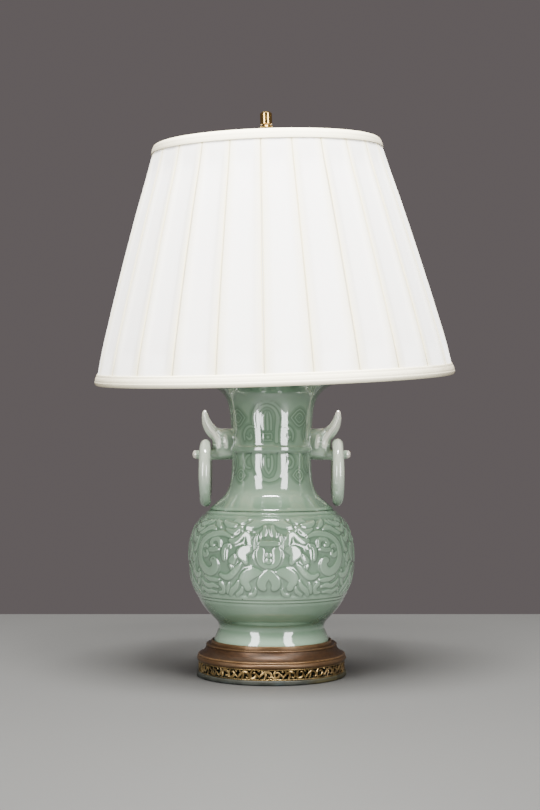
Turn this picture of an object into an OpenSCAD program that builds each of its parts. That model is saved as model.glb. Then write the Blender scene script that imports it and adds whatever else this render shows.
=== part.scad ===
// Urn table lamp: a celadon vase with beast-head ring handles, a patinated spun base
// and a pleated fabric shade on a harp.
// Millimetres. +Z is up, -Y is the front, the origin is the middle of the felt's underside.

/* [Overall] */
// Height from the table to the tip of the finial
lamp_height = 633; // [625:1:650]

/* [Base] */
// Radius of the base over its rim and lower bead
base_r = 84; // [82:0.5:88]
// Height of the seat that the vase stands on
seat_z = 36; // [34:0.5:38]
// Thickness of the spun metal
sheet_t = 1.2; // [1:0.1:1.5]
// Number of piercings round the gallery
gallery_holes = 36; // [24:2:40]
// Radius of the hole in the cord bushing
cord_hole_r = 3.25; // [3:0.05:3.5]

/* [Vase] */
// Thickness of the pottery wall
vase_wall = 6; // [5:0.5:7]
// Outline from the foot to the lip, as radius and height
vase_stations = [
    [64.5, 36], [64.2, 41], [61.8, 47], [59.6, 53.5], [61, 60], [67.4, 67], [74.4, 75], [80.5, 84],
    [86, 94], [90, 104.5], [92.4, 116], [93.5, 130], [93.4, 142], [91.9, 153], [88.4, 163],
    [83.3, 172.5], [76, 181], [67.5, 189], [59, 196.5], [51.5, 204], [47.5, 213], [45.6, 225],
    [45, 238], [45.3, 248.5], [46.6, 251.5], [46.6, 255.5], [45.3, 258.5], [45.4, 270],
    [46.3, 283], [47.8, 297], [50.2, 307], [54.8, 315], [62, 321], [68, 325], [70.2, 328.2],
    [69, 331]];

/* [Handles] */
// Distance from the lamp's axis to the middle of a ring's bar
ring_x = 74.3; // [73:0.1:76]
// Height of the top of the rings
ring_top_z = 265; // [264:0.5:266]
// Thickness of a ring's round bar
ring_bar = 12.8; // [12:0.2:13.4]
// Outer diameter of the rings
ring_od = 76.6; // [72:0.2:77]
// Spine of the horn: distance from the axis, height, radius
horn_stations = [
    [42, 266, 10.5], [53, 266.6, 10], [62.5, 269.8, 8], [69, 275.4, 6.7], [73.2, 283, 5.4],
    [75, 290.4, 3.9], [75.4, 297, 2]];
// Spine of the snout: distance from the axis, height, radius
snout_stations = [
    [50, 251.5, 9.5], [60, 249, 8.6], [67, 247, 6.2], [74, 246.6, 5.1], [80, 246.6, 4.9],
    [85, 247.2, 5], [88.4, 248, 3.4]];
// Corners of the head's block: distance from the axis, height, radius
head_corners = [[46, 265, 10.6], [46, 252, 11], [58, 264.2, 9], [58.5, 250.6, 9]];

/* [Neck fittings] */
// Height of the harp saddle's underside
saddle_z = 360; // [356:0.5:361]
// Outside radius of the threaded lamp pipe
pipe_r = 5.15; // [5:0.05:5.3]
// Bore radius of the lamp pipe
pipe_bore_r = 3.4; // [3:0.1:3.6]

/* [Harp] */
// Forward lean of the harp and socket, in degrees; 0 stands them upright
harp_lean_front = 2.4; // [0:0.1:3]
// Lean of the harp and socket to the left, in degrees
harp_lean_left = 1.2; // [0:0.1:2]
// Half width of the harp at its widest
harp_bow = 57; // [54:0.5:60]
// Half width of the harp at its feet
harp_foot_x = 27; // [25:0.5:29]
// Thickness of the harp wire
harp_wire = 3.2; // [2.8:0.1:3.6]

/* [Shade] */
// Forward lean of the shade, in degrees; 0 stands it upright
shade_lean_front = 4.4; // [0:0.1:5]
// Lean of the shade to the left, in degrees
shade_lean_left = 1.9; // [0:0.1:3]
// Radius over the bottom trim
shade_bottom_r = 203.2; // [198:0.2:206]
// Radius over the top trim
shade_top_r = 129.8; // [126:0.2:133]
// Distance from the stud's seat down to the bottom edge
shade_drop = 251.3; // [246:0.1:256]
// Distance from the stud's seat up to the top edge
shade_rise = 16.2; // [15:0.1:18]
// Number of pleats
pleats = 25; // [20:1:30]
// Number of upright wires in the frame
rib_count = 8; // [6:1:10]

/* [Socket and bulb] */
// Outside radius of the socket's metal shell
socket_r = 16.4; // [16:0.1:17]
// Largest radius of the bulb
bulb_r = 30; // [28:0.5:32]
// Length of the bulb's glass above its screw cap
bulb_glass_h = 82; // [76:1:90]

/* [Hidden] */
$fn = 96;

// Base levels
felt_t = 1.6;
felt_r = base_r - 3.6;
rim_low_z = 0.6;
rim_top_z = 5.4;
gallery_top_z = 17.4;
gallery_r = base_r - 2;
gallery_mid_z = (rim_top_z + gallery_top_z) / 2;
lower_bead_r = 3.7;
upper_bead_r = 1.1;
upper_bead_x = base_r - 11.8;
cove_x = base_r + 2.56;
cove_z = seat_z + 1.45;
cove_r = 14.1;
seat_under_z = seat_z - sheet_t;
seat_rim_r = 67.4;
seat_rim_h = 4;
weight_r = 60;
weight_low_z = 14;
washer_t = 1.6;
lock_t = 1;
nut_t = 5;
nut_across = 16;
thread_gap = 0.05;
bushing_r = 4.7;
bushing_flange_r = 5.8;
bushing_inner_y = gallery_r - 7;
bushing_outer_y = base_r + 0.2;

// Vase levels
foot_hole_r = 7;
floor_z = seat_z + 10;
luted_z = 186;
lip_z = vase_stations[len(vase_stations) - 1][1];
curve_steps = 3;

// Rings
ring_bar_r = ring_bar / 2;
ring_mid_r = ring_od / 2 - ring_bar_r;
ring_centre_z = ring_top_z - ring_od / 2;

// Neck stack
pipe_low_z = 4.5;
pipe_top_z = saddle_z + 8.5;
cap_r = 66;
cap_t = 1.4;
cap_hub_z = lip_z + 9;
spacer_low_r = 11;
spacer_top_r = 7.5;

// Harp, in its own frame with the saddle's underside at 0
saddle_t = 1.6;
post_r = 2.4;
post_top = 16;
foot_low = post_top + 0.3;
foot_top = 34;
kink_r = 20;
bow_r = 150;
crown_start = 25;
kink_turn = acos(1 - (harp_bow - harp_foot_x) / (kink_r + bow_r));
bow_z = foot_top + (kink_r + bow_r) * sin(kink_turn);
crown_r = (harp_bow - bow_r * (1 - cos(crown_start))) / cos(crown_start);
crown_z = bow_z + bow_r * sin(crown_start) + crown_r * (1 - sin(crown_start));
boss_r = 5;
boss_t = harp_wire + 0.4;
seat_w = crown_z + boss_t / 2;
ferrule_low = 8;
ferrule_h = 15;
ferrule_r = 3.7;
fit_gap = 0.06;

// Stud, in the shade's frame with the harp's boss at 0
tail_r = 2;
collar_r = 6;
collar_t = 2.6;
collar_gap = 0.2;
stud_r = 3.1;
stud_top = 15;

// Shade line: the middle of the frame wires, by height above the stud's seat
ring_wire_r = 1.5;
rib_wire_r = 1.1;
top_ring_w = shade_rise - 4.2;
bottom_ring_w = 4.3 - shade_drop;
top_ring_r = shade_top_r - 6.4;
bottom_ring_r = shade_bottom_r - 5.5;
rib_slope = (bottom_ring_r - top_ring_r) / (top_ring_w - bottom_ring_w);
function rib_radius(w) = top_ring_r + (top_ring_w - w) * rib_slope;
cover_low_w = bottom_ring_w - 1.6;
cover_top_w = top_ring_w + 1.6;
first_pleat = 270 - 3.15;
// One pleat: turn from the fold as a share of the pleat, and the offset from the frame line
pleat_points = [
    [0, 3.4], [0.035, 4.3], [0.17, 4], [0.36, 2.8], [0.64, 2.8], [0.83, 4], [0.965, 4.3]];
cover_inner = 1.7;
lining_outer = -1.7;
lining_inner = -2.5;
spider_t = 1.6;
spider_w = collar_gap + collar_t + 0.1;
spider_r = 11;
arm_r = 1.4;
slit_gap = 0.3;
finial_w = spider_w + spider_t + 0.3;

// Socket, in the harp's frame
socket_low = 5.6;
socket_cap_top = 25;
shell_low = 21;
shell_top = 61;
liner_top = 60;
screw_low = 36;
screw_top = 58;
screw_r = 13.4;
switch_w = 30;
stem_r = 1.6;
knob_y = -20;
bulb_low = 38.4;
bulb_cap_r = 12.9;
bulb_cap_top = 62;
glass_t = 0.8;

celadon = [0.56, 0.65, 0.58];
copper = [0.55, 0.35, 0.22];
gilt = [0.75, 0.6, 0.33];
ivory = [0.96, 0.95, 0.9];
steel = [0.62, 0.63, 0.64];

// Curves

// Points of an arc
function arc(x, z, r, from, to, n) = [
    for (i = [0 : n]) let (a = from + (to - from) * i / n) [x + r * cos(a), z + r * sin(a)]];

// A point between b and c on the smooth curve through a, b, c and d
function between(a, b, c, d, t) =
    0.5 * (2 * b + (c - a) * t + (2 * a - 5 * b + 4 * c - d) * t * t
    + (3 * b - a - 3 * c + d) * t * t * t);

// The smooth curve through a list of stations
function smooth(s, steps) = let (last = len(s) - 1) concat(
    [for (i = [0 : last - 1], k = [0 : steps - 1])
        between(s[max(i - 1, 0)], s[i], s[i + 1], s[min(i + 2, last)], k / steps)],
    [s[last]]);

function backwards(s) = [for (i = [len(s) - 1 : -1 : 0]) s[i]];

// Direction of a spine in the X-Z plane at point i
function heading(s, i) =
    let (a = s[max(i - 1, 0)], b = s[min(i + 1, len(s) - 1)], d = [b[0] - a[0], b[1] - a[1]])
    d / norm(d);

// A round form along a spine of [x, z, radius]
module swept(spine, sides) {
    n = len(spine);
    last = (n - 1) * sides;
    ring_points = [
        for (i = [0 : n - 1], j = [0 : sides - 1])
            let (d = heading(spine, i), a = 360 * (j + 0.5) / sides, r = spine[i][2])
            [spine[i][0] - d[1] * r * sin(a), r * cos(a), spine[i][1] + d[0] * r * sin(a)]];
    side_faces = [
        for (i = [0 : n - 2], j = [0 : sides - 1], half = [0, 1])
            let (k = (j + 1) % sides, a = i * sides, b = a + sides)
            half == 0 ? [a + j, b + k, a + k] : [a + j, b + j, b + k]];
    end_faces = [
        for (j = [1 : sides - 2], end = [0, 1])
            end == 0 ? [0, j, j + 1] : [last, last + j + 1, last + j]];
    polyhedron(ring_points, concat(side_faces, end_faces), convexity = 4);
}

module revolved(outline, fn = 96) {
    rotate_extrude($fn = fn) polygon(outline);
}

module tube(r_out, r_in, low, high) {
    translate([0, 0, low]) difference() {
        cylinder(r = r_out, h = high - low);
        translate([0, 0, -1]) cylinder(r = r_in, h = high - low + 2);
    }
}

// Frames: the harp leans about the saddle, the shade about the harp's boss

module harp_frame() {
    translate([0, 0, saddle_z]) rotate([harp_lean_front, -harp_lean_left, 0]) children();
}

module shade_frame() {
    harp_frame() translate([0, 0, seat_w])
        rotate([-harp_lean_front, 0, 0]) rotate([0, harp_lean_left, 0])
        rotate([shade_lean_front, -shade_lean_left, 0]) children();
}

// Base

module felt_pad() {
    color("darkolivegreen") cylinder(r = felt_r, h = felt_t);
}

module base_rim() {
    color(copper) revolved([
        [felt_r - 10, felt_t], [felt_r + 0.2, felt_t], [felt_r + 0.2, rim_low_z],
        [base_r - 0.7, rim_low_z], [base_r, rim_low_z + 0.9], [base_r, rim_top_z - 0.9],
        [base_r - 0.7, rim_top_z], [gallery_r - 3, rim_top_z],
        [gallery_r - 3, felt_t + sheet_t], [felt_r - 10, felt_t + sheet_t]]);
}

// Lozenge piercings in two staggered rows, and a round hole for the bushing at the back
module gallery_band() {
    step = 360 / gallery_holes;
    color(gilt) difference() {
        tube(gallery_r, gallery_r - 1.6, rim_top_z, gallery_top_z);
        for (i = [0 : gallery_holes - 1]) if (abs(i - gallery_holes / 2) > 1)
            rotate([0, 0, i * step - 90])
                translate([gallery_r, 0, gallery_mid_z + (i % 2 == 0 ? 1.6 : -1.6)])
                rotate([0, 90, 0]) cylinder(r = 3, h = 8, center = true, $fn = 4);
        translate([0, gallery_r, gallery_mid_z]) rotate([90, 0, 0])
            cylinder(r = bushing_r + thread_gap, h = 12, center = true);
    }
}

// Spun shell: lower bead, cove, upper bead and the raised rim round the vase's foot
module base_top() {
    bead_x = base_r - lower_bead_r;
    bead_z = gallery_top_z + lower_bead_r;
    outer = concat(
        [[bead_x + 1.5, gallery_top_z]],
        arc(bead_x, bead_z, lower_bead_r, -65, 90, 9),
        arc(cove_x, cove_z, cove_r, -117, -164.5, 6),
        arc(upper_bead_x, seat_z - upper_bead_r, upper_bead_r, -90, 90, 6),
        [[seat_rim_r + 1, seat_z - 1], [seat_rim_r, seat_z - 0.4]],
        arc(seat_rim_r - 1, seat_z + seat_rim_h - 1, 1, 0, 180, 6),
        [[seat_rim_r - 2, seat_z], [pipe_r + 0.2, seat_z]]);
    inner = concat(
        [[pipe_r + 0.2, seat_under_z], [upper_bead_x - 6, seat_under_z],
            [upper_bead_x - 1.2, seat_z - 2.8]],
        arc(cove_x, cove_z, cove_r + sheet_t, -160, -119, 6),
        arc(bead_x, bead_z, lower_bead_r - sheet_t, 100, -70, 8),
        [[bead_x - 2.4, gallery_top_z + sheet_t], [bead_x - 2.4, gallery_top_z]]);
    color(copper) revolved(concat(outer, inner));
}

module base_weight() {
    color("dimgray") revolved([
        [pipe_r + 0.4, weight_low_z], [weight_r - 4, weight_low_z], [weight_r, weight_low_z + 4],
        [weight_r, seat_under_z], [pipe_r + 0.4, seat_under_z]]);
}

module base_washer() {
    color(steel) tube(16, pipe_r + 0.2, weight_low_z - washer_t, weight_low_z);
}

module lock_washer() {
    low = weight_low_z - washer_t - lock_t;
    color(steel) difference() {
        tube(9.5, pipe_r + 0.2, low, low + lock_t);
        for (a = [0 : 36 : 324]) rotate([0, 0, a])
            translate([9.4, 0, low + lock_t / 2]) cube([2.4, 1.4, 2], center = true);
    }
}

module hex_nut(low, high, bore) {
    difference() {
        translate([0, 0, low]) cylinder(r = nut_across / 2 / cos(30), h = high - low, $fn = 6);
        translate([0, 0, low - 1]) cylinder(r = bore, h = high - low + 2);
    }
}

module base_nut() {
    high = weight_low_z - washer_t - lock_t;
    color(steel) hex_nut(high - nut_t, high, pipe_r + thread_gap);
}

module cord_bushing() {
    color([0.12, 0.11, 0.1]) translate([0, bushing_inner_y, gallery_mid_z]) rotate([-90, 0, 0]) {
        length = bushing_outer_y - bushing_inner_y;
        difference() {
            union() {
                cylinder(r = bushing_r, h = length);
                translate([0, 0, length - 2]) cylinder(r = bushing_flange_r, h = 2);
            }
            translate([0, 0, -1]) cylinder(r = cord_hole_r, h = length + 2);
        }
    }
}

module lamp_pipe() {
    color(gilt) tube(pipe_r, pipe_bore_r, pipe_low_z, pipe_top_z);
}

// Vase

vase_outer = smooth(vase_stations, curve_steps);

// The whole pot, thrown in two sections that are luted together at the upper groove
module pot() {
    inner = [for (p = smooth(vase_stations, 2))
        if (p[1] > floor_z + 4 && p[1] < lip_z - 4) [p[0] - vase_wall, p[1]]];
    lip_r = vase_stations[len(vase_stations) - 1][0];
    color(celadon) revolved(concat(
        [[foot_hole_r, seat_z]], vase_outer, [[lip_r - vase_wall, lip_z]],
        backwards(inner), [[inner[0][0] - 4, floor_z], [foot_hole_r, floor_z]]));
}

module above_luting() {
    translate([0, 0, luted_z]) cylinder(r = 1.5 * base_r, h = lamp_height);
}

module vase_body() {
    difference() {
        pot();
        above_luting();
    }
}

module vase_neck() {
    intersection() {
        pot();
        above_luting();
    }
}

// The neck alone, to cut the handles to its curve
module neck_core() {
    neck = [for (p = vase_outer) if (p[1] > 215 && p[1] < 305) p];
    revolved(concat([[0, neck[0][1]]], neck, [[0, neck[len(neck) - 1][1]]]));
}

// Beast head with a horn above and a snout that passes through the ring, for the right side
module handle() {
    color(celadon) difference() {
        union() {
            hull() for (c = head_corners) translate([c[0], 0, c[1]]) sphere(r = c[2], $fn = 20);
            swept(smooth(horn_stations, 2), 14);
            swept(smooth(snout_stations, 2), 14);
        }
        neck_core();
    }
}

module handle_right() {
    handle();
}

module handle_left() {
    mirror([1, 0, 0]) handle();
}

module ring_handle() {
    color(celadon) translate([ring_x, 0, ring_centre_z]) rotate([0, 90, 0])
        rotate_extrude($fn = 96) translate([ring_mid_r, 0]) circle(r = ring_bar_r, $fn = 48);
}

module ring_right() {
    ring_handle();
}

module ring_left() {
    mirror([1, 0, 0]) ring_handle();
}

// Neck fittings

module vase_cap() {
    color(gilt) revolved(concat(
        [[pipe_r + 0.2, cap_hub_z - cap_t], [15, cap_hub_z - cap_t]],
        arc(15, lip_z - 14 + cap_t, cap_hub_z - lip_z + 14 - 2 * cap_t, 90, 42, 5),
        [[56, lip_z], [cap_r, lip_z], [cap_r, lip_z + cap_t], [54, lip_z + cap_t]],
        backwards(arc(15, lip_z - 14 + cap_t, cap_hub_z - lip_z + 14 - cap_t, 90, 42, 5)),
        [[pipe_r + 0.2, cap_hub_z]]));
}

module neck_spacer() {
    high = saddle_z - 0.5;
    color(gilt) revolved(concat(
        [[pipe_r + 0.2, cap_hub_z], [spacer_low_r, cap_hub_z]],
        arc(spacer_low_r, cap_hub_z + 2, 2, -90, 90, 6),
        [[spacer_low_r - 2.5, cap_hub_z + 6], [spacer_top_r, cap_hub_z + 11]],
        [[spacer_top_r, high], [pipe_r + 0.2, high]]));
}

module harp_saddle() {
    color(gilt) harp_frame() {
        difference() {
            union() {
                cylinder(r = 11, h = saddle_t);
                translate([-harp_foot_x, -5, 0]) cube([2 * harp_foot_x, 10, saddle_t]);
                for (side = [-1, 1]) translate([side * harp_foot_x, 0, 0]) {
                    cylinder(r = 5, h = saddle_t);
                    cylinder(r = post_r, h = post_top);
                }
            }
            translate([0, 0, -1]) cylinder(r = pipe_r + 0.5, h = saddle_t + 2);
        }
    }
}

module saddle_nut() {
    color(steel) harp_frame() hex_nut(saddle_t, socket_low - 0.2, pipe_r + 0.3);
}

// Socket and bulb

module socket_cap() {
    wall = 0.6;
    color(gilt) harp_frame() revolved(concat(
            [[pipe_r + 0.45, socket_low], [8, socket_low], [8, socket_low + 4]],
            arc(10, socket_low + 12, 7, -90, 0, 6),
            [[socket_r + wall, socket_low + 12], [socket_r + wall, socket_cap_top],
                [socket_r + 0.02, socket_cap_top], [socket_r + 0.02, socket_low + 12]],
            arc(10, socket_low + 12, 6.4, 0, -90, 6),
            [[pipe_r + 0.45, socket_low + 5.6]]));
}

module socket_shell() {
    color(gilt) harp_frame() difference() {
        tube(socket_r, socket_r - 0.5, shell_low, shell_top);
        translate([0, -socket_r, switch_w]) rotate([90, 0, 0])
            cylinder(r = 2.6, h = 6, center = true, $fn = 48);
    }
}

module socket_liner() {
    color([0.35, 0.28, 0.2]) harp_frame() difference() {
        tube(socket_r - 0.55, socket_r - 1.3, shell_low + 2, liner_top);
        translate([0, -socket_r, switch_w]) rotate([90, 0, 0])
            cylinder(r = 2.6, h = 6, center = true, $fn = 48);
    }
}

module socket_body() {
    color([0.15, 0.12, 0.1]) harp_frame() difference() {
        translate([0, 0, shell_low + 1]) cylinder(r = socket_r - 1.5, h = screw_low - shell_low - 1);
        translate([0, -socket_r, switch_w]) rotate([90, 0, 0])
            cylinder(r = stem_r + fit_gap, h = 16, center = true, $fn = 48);
    }
}

module screw_shell() {
    color(steel) harp_frame() tube(screw_r + 0.5, screw_r, screw_low, screw_top);
}

module switch_stem() {
    color(gilt) harp_frame() translate([0, -9, switch_w]) rotate([90, 0, 0])
        cylinder(r = stem_r, h = -knob_y - 9, $fn = 48);
}

module switch_knob() {
    color([0.12, 0.1, 0.08]) harp_frame() translate([0, knob_y, switch_w]) rotate([90, 0, 0])
        difference() {
            cylinder(r = 5.4, h = 9, $fn = 48);
            for (a = [0 : 30 : 330]) rotate([0, 0, a])
                translate([5.6, 0, 5.5]) cube([1, 1, 9], center = true);
        }
}

module bulb_cap() {
    color(steel) harp_frame() {
        translate([0, 0, bulb_low]) cylinder(r = 4.5, h = 2);
        translate([0, 0, bulb_low + 2]) cylinder(r1 = 7, r2 = bulb_cap_r, h = 4);
        translate([0, 0, bulb_low + 6]) cylinder(r = bulb_cap_r, h = bulb_cap_top - bulb_low - 6);
    }
}

// Outline of the bulb's glass, drawn in by an even amount
function bulb_outline(inset) = let (crown_mid = bulb_cap_top + bulb_glass_h - bulb_r) concat(
    [for (p = smooth([
        [13.6, bulb_cap_top], [14.4, bulb_cap_top + 8], [18.5, bulb_cap_top + 19],
        [24.5, bulb_cap_top + 31], [28.6, crown_mid - 11], [bulb_r, crown_mid]], 3))
        [p[0] - inset, p[1]]],
    arc(0, crown_mid, bulb_r - inset, 6, 90, 14));

// Thin glass shell, open where it meets its cap
module bulb_glass() {
    color([0.97, 0.96, 0.92]) harp_frame()
        revolved(concat(bulb_outline(0), backwards(bulb_outline(glass_t))));
}

// Harp

// Right half of the wire, from inside the foot up to the crown
harp_half = concat(
    [[harp_foot_x, foot_top - 4]],
    arc(harp_foot_x + kink_r, foot_top, kink_r, 180, 180 - kink_turn, 5),
    arc(harp_bow - bow_r, bow_z, bow_r, 2 - kink_turn, crown_start - 1.5, 14),
    arc(0, crown_z - crown_r, crown_r, crown_start, 90, 9));

// Wire loop with tubular feet and a flat boss at the crown, drilled for the stud's tail
module harp() {
    left_half = [for (p = harp_half) if (p[0] > 0.1) [-p[0], p[1]]];
    loop = concat(harp_half, backwards(left_half));
    color(gilt) harp_frame() difference() {
        union() {
            swept([for (p = loop) [p[0], p[1], harp_wire / 2]], 12);
            for (side = [-1, 1]) translate([side * harp_foot_x, 0, foot_low])
                cylinder(r = post_r, h = foot_top - foot_low);
            translate([0, 0, crown_z - boss_t / 2]) cylinder(r = boss_r, h = boss_t, $fn = 48);
        }
        translate([0, 0, crown_z - boss_t]) cylinder(r = tail_r + 0.25, h = 2 * boss_t, $fn = 48);
    }
}

module harp_stud() {
    color(gilt) shade_frame() {
        translate([0, 0, -boss_t]) cylinder(r = tail_r, h = boss_t + 1, $fn = 48);
        translate([0, 0, collar_gap]) cylinder(r = collar_r, h = collar_t, $fn = 48);
        translate([0, 0, collar_gap]) cylinder(r = stud_r, h = stud_top - collar_gap, $fn = 48);
    }
}

module ferrule(x) {
    color(gilt) harp_frame() translate([x, 0, ferrule_low]) difference() {
        revolved(concat(
            arc(ferrule_r - 0.3, 0.6, 0.9, -90, 90, 6),
            arc(ferrule_r - 0.6, ferrule_h - 0.6, 0.6, 0, 90, 3),
            [[0, ferrule_h], [0, -0.3]]), 48);
        translate([0, 0, -1]) cylinder(r = post_r + fit_gap, h = ferrule_h + 2, $fn = 48);
    }
}

module ferrule_left() {
    ferrule(-harp_foot_x);
}

module ferrule_right() {
    ferrule(harp_foot_x);
}

// Shade

module spider_hub() {
    color(gilt) shade_frame() tube(spider_r, stud_r + fit_gap, spider_w, spider_w + spider_t);
}

// Three arms from the hub's edge up to the top ring, or the slits that let them pass
module arm_set(grow) {
    start = spider_r + 0.1;
    end = top_ring_r - ring_wire_r;
    low = spider_w + spider_t / 2;
    slope = atan((top_ring_w - low) / (end - start));
    for (a = [90, 210, 330]) rotate([0, 0, a])
        translate([start, 0, low]) rotate([0, 90 - slope, 0])
        cylinder(r = arm_r + grow, h = (end - start) / cos(slope), $fn = 24);
}

module spider_arms() {
    color(gilt) shade_frame() arm_set(0);
}

module wire_ring(r, w) {
    color(steel) shade_frame() translate([0, 0, w]) rotate_extrude($fn = 96)
        translate([r, 0]) circle(r = ring_wire_r, $fn = 24);
}

module shade_top_ring() {
    wire_ring(top_ring_r, top_ring_w);
}

module shade_bottom_ring() {
    wire_ring(bottom_ring_r, bottom_ring_w);
}

module shade_ribs() {
    low = bottom_ring_w + ring_wire_r;
    tall = top_ring_w - ring_wire_r - low;
    tilt = atan(rib_slope);
    color(steel) shade_frame()
        for (i = [0 : rib_count - 1]) rotate([0, 0, 360 * (i + 0.5) / rib_count])
            translate([rib_radius(low), 0, low]) rotate([0, -tilt, 0])
            cylinder(r = rib_wire_r, h = tall / cos(tilt), $fn = 24);
}

module shade_lining() {
    color([0.93, 0.91, 0.85]) shade_frame() difference() {
        revolved([
            for (p = [[cover_low_w, lining_inner], [cover_low_w, lining_outer],
                [cover_top_w, lining_outer], [cover_top_w, lining_inner]])
                [rib_radius(p[0]) + p[1], p[0]]]);
        arm_set(slit_gap);
    }
}

// Pleated wall: flat panels that dip between the folds, over a plain inner face
module shade_cover() {
    m = len(pleat_points);
    n = pleats * m;
    levels = [cover_low_w, cover_top_w];
    wall_points = [
        for (layer = [0, 1], w = levels, i = [0 : n - 1])
            let (p = pleat_points[i % m], a = first_pleat + 360 / pleats * (floor(i / m) + p[0]),
                r = rib_radius(w) + (layer == 0 ? p[1] : cover_inner))
            [r * cos(a), r * sin(a), w]];
    wall_faces = [
        for (i = [0 : n - 1], part = [0 : 7])
            let (j = (i + 1) % n, ol = i, oh = n + i, il = 2 * n + i, ih = 3 * n + i,
                ol2 = j, oh2 = n + j, il2 = 2 * n + j, ih2 = 3 * n + j)
            [[ol, oh, oh2], [ol, oh2, ol2], [il, ih2, ih], [il, il2, ih2],
                [oh, ih, ih2], [oh, ih2, oh2], [ol, il2, il], [ol, ol2, il2]][part]];
    color(ivory) shade_frame() polyhedron(wall_points, wall_faces, convexity = 8);
}

// Fabric binding folded over an edge of the shade: offset from the frame line, height
module binding(outline) {
    color(ivory) shade_frame() difference() {
        revolved([for (p = outline) [rib_radius(p[1]) + p[0], p[1]]]);
        arm_set(slit_gap);
    }
}

module shade_top_trim() {
    top = shade_rise;
    binding(concat(
        [[lining_inner - 0.2, top - 11], [lining_inner - 0.2, cover_top_w + 0.2],
            [4.5, cover_top_w + 0.2], [4.5, top - 11.2], [5.1, top - 11]],
        [[5.6, top - 7], [5.2, top - 2.6], [3.6, top - 0.6], [1.5, top], [-1, top - 0.3]],
        [[-3, top - 1.8], [lining_inner - 1.1, top - 4], [lining_inner - 1.1, top - 11]]));
}

module shade_bottom_trim() {
    low = -shade_drop;
    binding(concat(
        [[lining_inner - 0.2, low + 13], [lining_inner - 1.1, low + 13],
            [lining_inner - 1.1, low + 4], [-2.8, low + 1.6]],
        [[-1, low + 0.3], [1.2, low], [3.8, low + 0.8], [5.5, low + 3], [6.1, low + 6.4]],
        [[5.9, low + 10], [5.2, low + 13.4], [4.5, low + 13.4], [4.5, cover_low_w - 0.2],
            [lining_inner - 0.2, cover_low_w - 0.2]]));
}

// Threaded onto the stud: seat, waisted neck, dark groove, chamfered head
module finial() {
    pivot_z = saddle_z + seat_w * cos(harp_lean_front) * cos(harp_lean_left);
    top = (lamp_height - pivot_z) / (cos(shade_lean_front) * cos(shade_lean_left));
    head_r = 6.8;
    color(gilt) shade_frame() difference() {
        revolved(concat(
            [[0, finial_w], [6.4, finial_w]],
            arc(5.6, finial_w + 1.4, 1.4, -40, 90, 6),
            [[4.9, finial_w + 6], [4.5, finial_w + 14], [4.5, top - 23], [5, top - 21.3],
                [6.9, top - 17.3], [7.6, top - 16.9], [7.6, top - 16.3], [6.9, top - 16.1],
                [5, top - 15.9], [5, top - 14.5], [6.3, top - 14.2], [head_r, top - 13.5],
                [head_r, top - 2], [head_r - 1.8, top - 0.3], [0, top]]));
        translate([0, 0, finial_w - 1])
            cylinder(r = stud_r + fit_gap, h = stud_top - finial_w + 2, $fn = 48);
    }
}

felt_pad();
base_rim();
gallery_band();
base_top();
base_weight();
base_washer();
lock_washer();
base_nut();
cord_bushing();
lamp_pipe();
vase_body();
vase_neck();
handle_left();
handle_right();
ring_left();
ring_right();
vase_cap();
neck_spacer();
harp_saddle();
saddle_nut();
socket_cap();
socket_body();
screw_shell();
socket_liner();
socket_shell();
switch_stem();
switch_knob();
bulb_cap();
bulb_glass();
harp();
harp_stud();
ferrule_left();
ferrule_right();
spider_hub();
spider_arms();
shade_top_ring();
shade_bottom_ring();
shade_ribs();
shade_lining();
shade_cover();
shade_top_trim();
shade_bottom_trim();
finial();
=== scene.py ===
import math
import bmesh
import bpy
import numpy as np
from mathutils import Matrix, Vector


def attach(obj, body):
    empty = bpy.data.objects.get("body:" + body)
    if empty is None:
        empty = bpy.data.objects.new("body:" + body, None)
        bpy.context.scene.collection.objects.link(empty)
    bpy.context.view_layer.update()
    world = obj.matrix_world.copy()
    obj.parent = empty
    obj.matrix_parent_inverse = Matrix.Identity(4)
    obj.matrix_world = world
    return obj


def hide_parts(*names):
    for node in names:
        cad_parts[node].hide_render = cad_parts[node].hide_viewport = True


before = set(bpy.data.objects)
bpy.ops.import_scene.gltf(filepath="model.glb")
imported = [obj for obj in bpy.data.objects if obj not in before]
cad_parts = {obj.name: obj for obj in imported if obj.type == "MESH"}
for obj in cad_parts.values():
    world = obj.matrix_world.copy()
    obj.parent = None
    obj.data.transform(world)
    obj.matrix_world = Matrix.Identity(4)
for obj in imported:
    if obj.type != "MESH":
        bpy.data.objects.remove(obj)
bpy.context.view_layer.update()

# Drawn in millimetres and made in metres; heights are above the table
mm = 0.001
scene = bpy.context.scene
chance = np.random.default_rng(7)

studio = {
    "distance": 1.70,         # camera to the lamp's axis
    "height": 0.2635,
    "sideways": -0.0017,
    "tiltUp": 1.33,
    "lens": 66.9,
    "floorSize": 7.0,
    "floorBack": 0.584,       # far edge of the floor behind the lamp
    "floorColour": (0.054, 0.0535, 0.0505, 1),
    "roomColour": (0.30, 0.262, 0.266, 1),
    "roomStrength": 0.43,
    "stripTurn": 36.5,        # degrees from the camera to each strip light
    "stripDistance": 1.25,
    "stripWidth": 0.40,
    "stripLow": 0.02,
    "stripTall": 1.42,
    "stripPower": 26,
    "topSize": 1.0,
    "topHeight": 2.2,
    "topForward": 0.72,
    "topAim": 0.3,
    "topPower": 370,
}


def placeCamera():
    lens = bpy.data.cameras.new("camera")
    lens.lens = studio["lens"]
    camera = bpy.data.objects.new("camera", lens)
    camera.location = (studio["sideways"], -studio["distance"], studio["height"])
    camera.rotation_euler = (math.radians(90 + studio["tiltUp"]), 0, 0)
    scene.collection.objects.link(camera)
    scene.camera = camera


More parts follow.
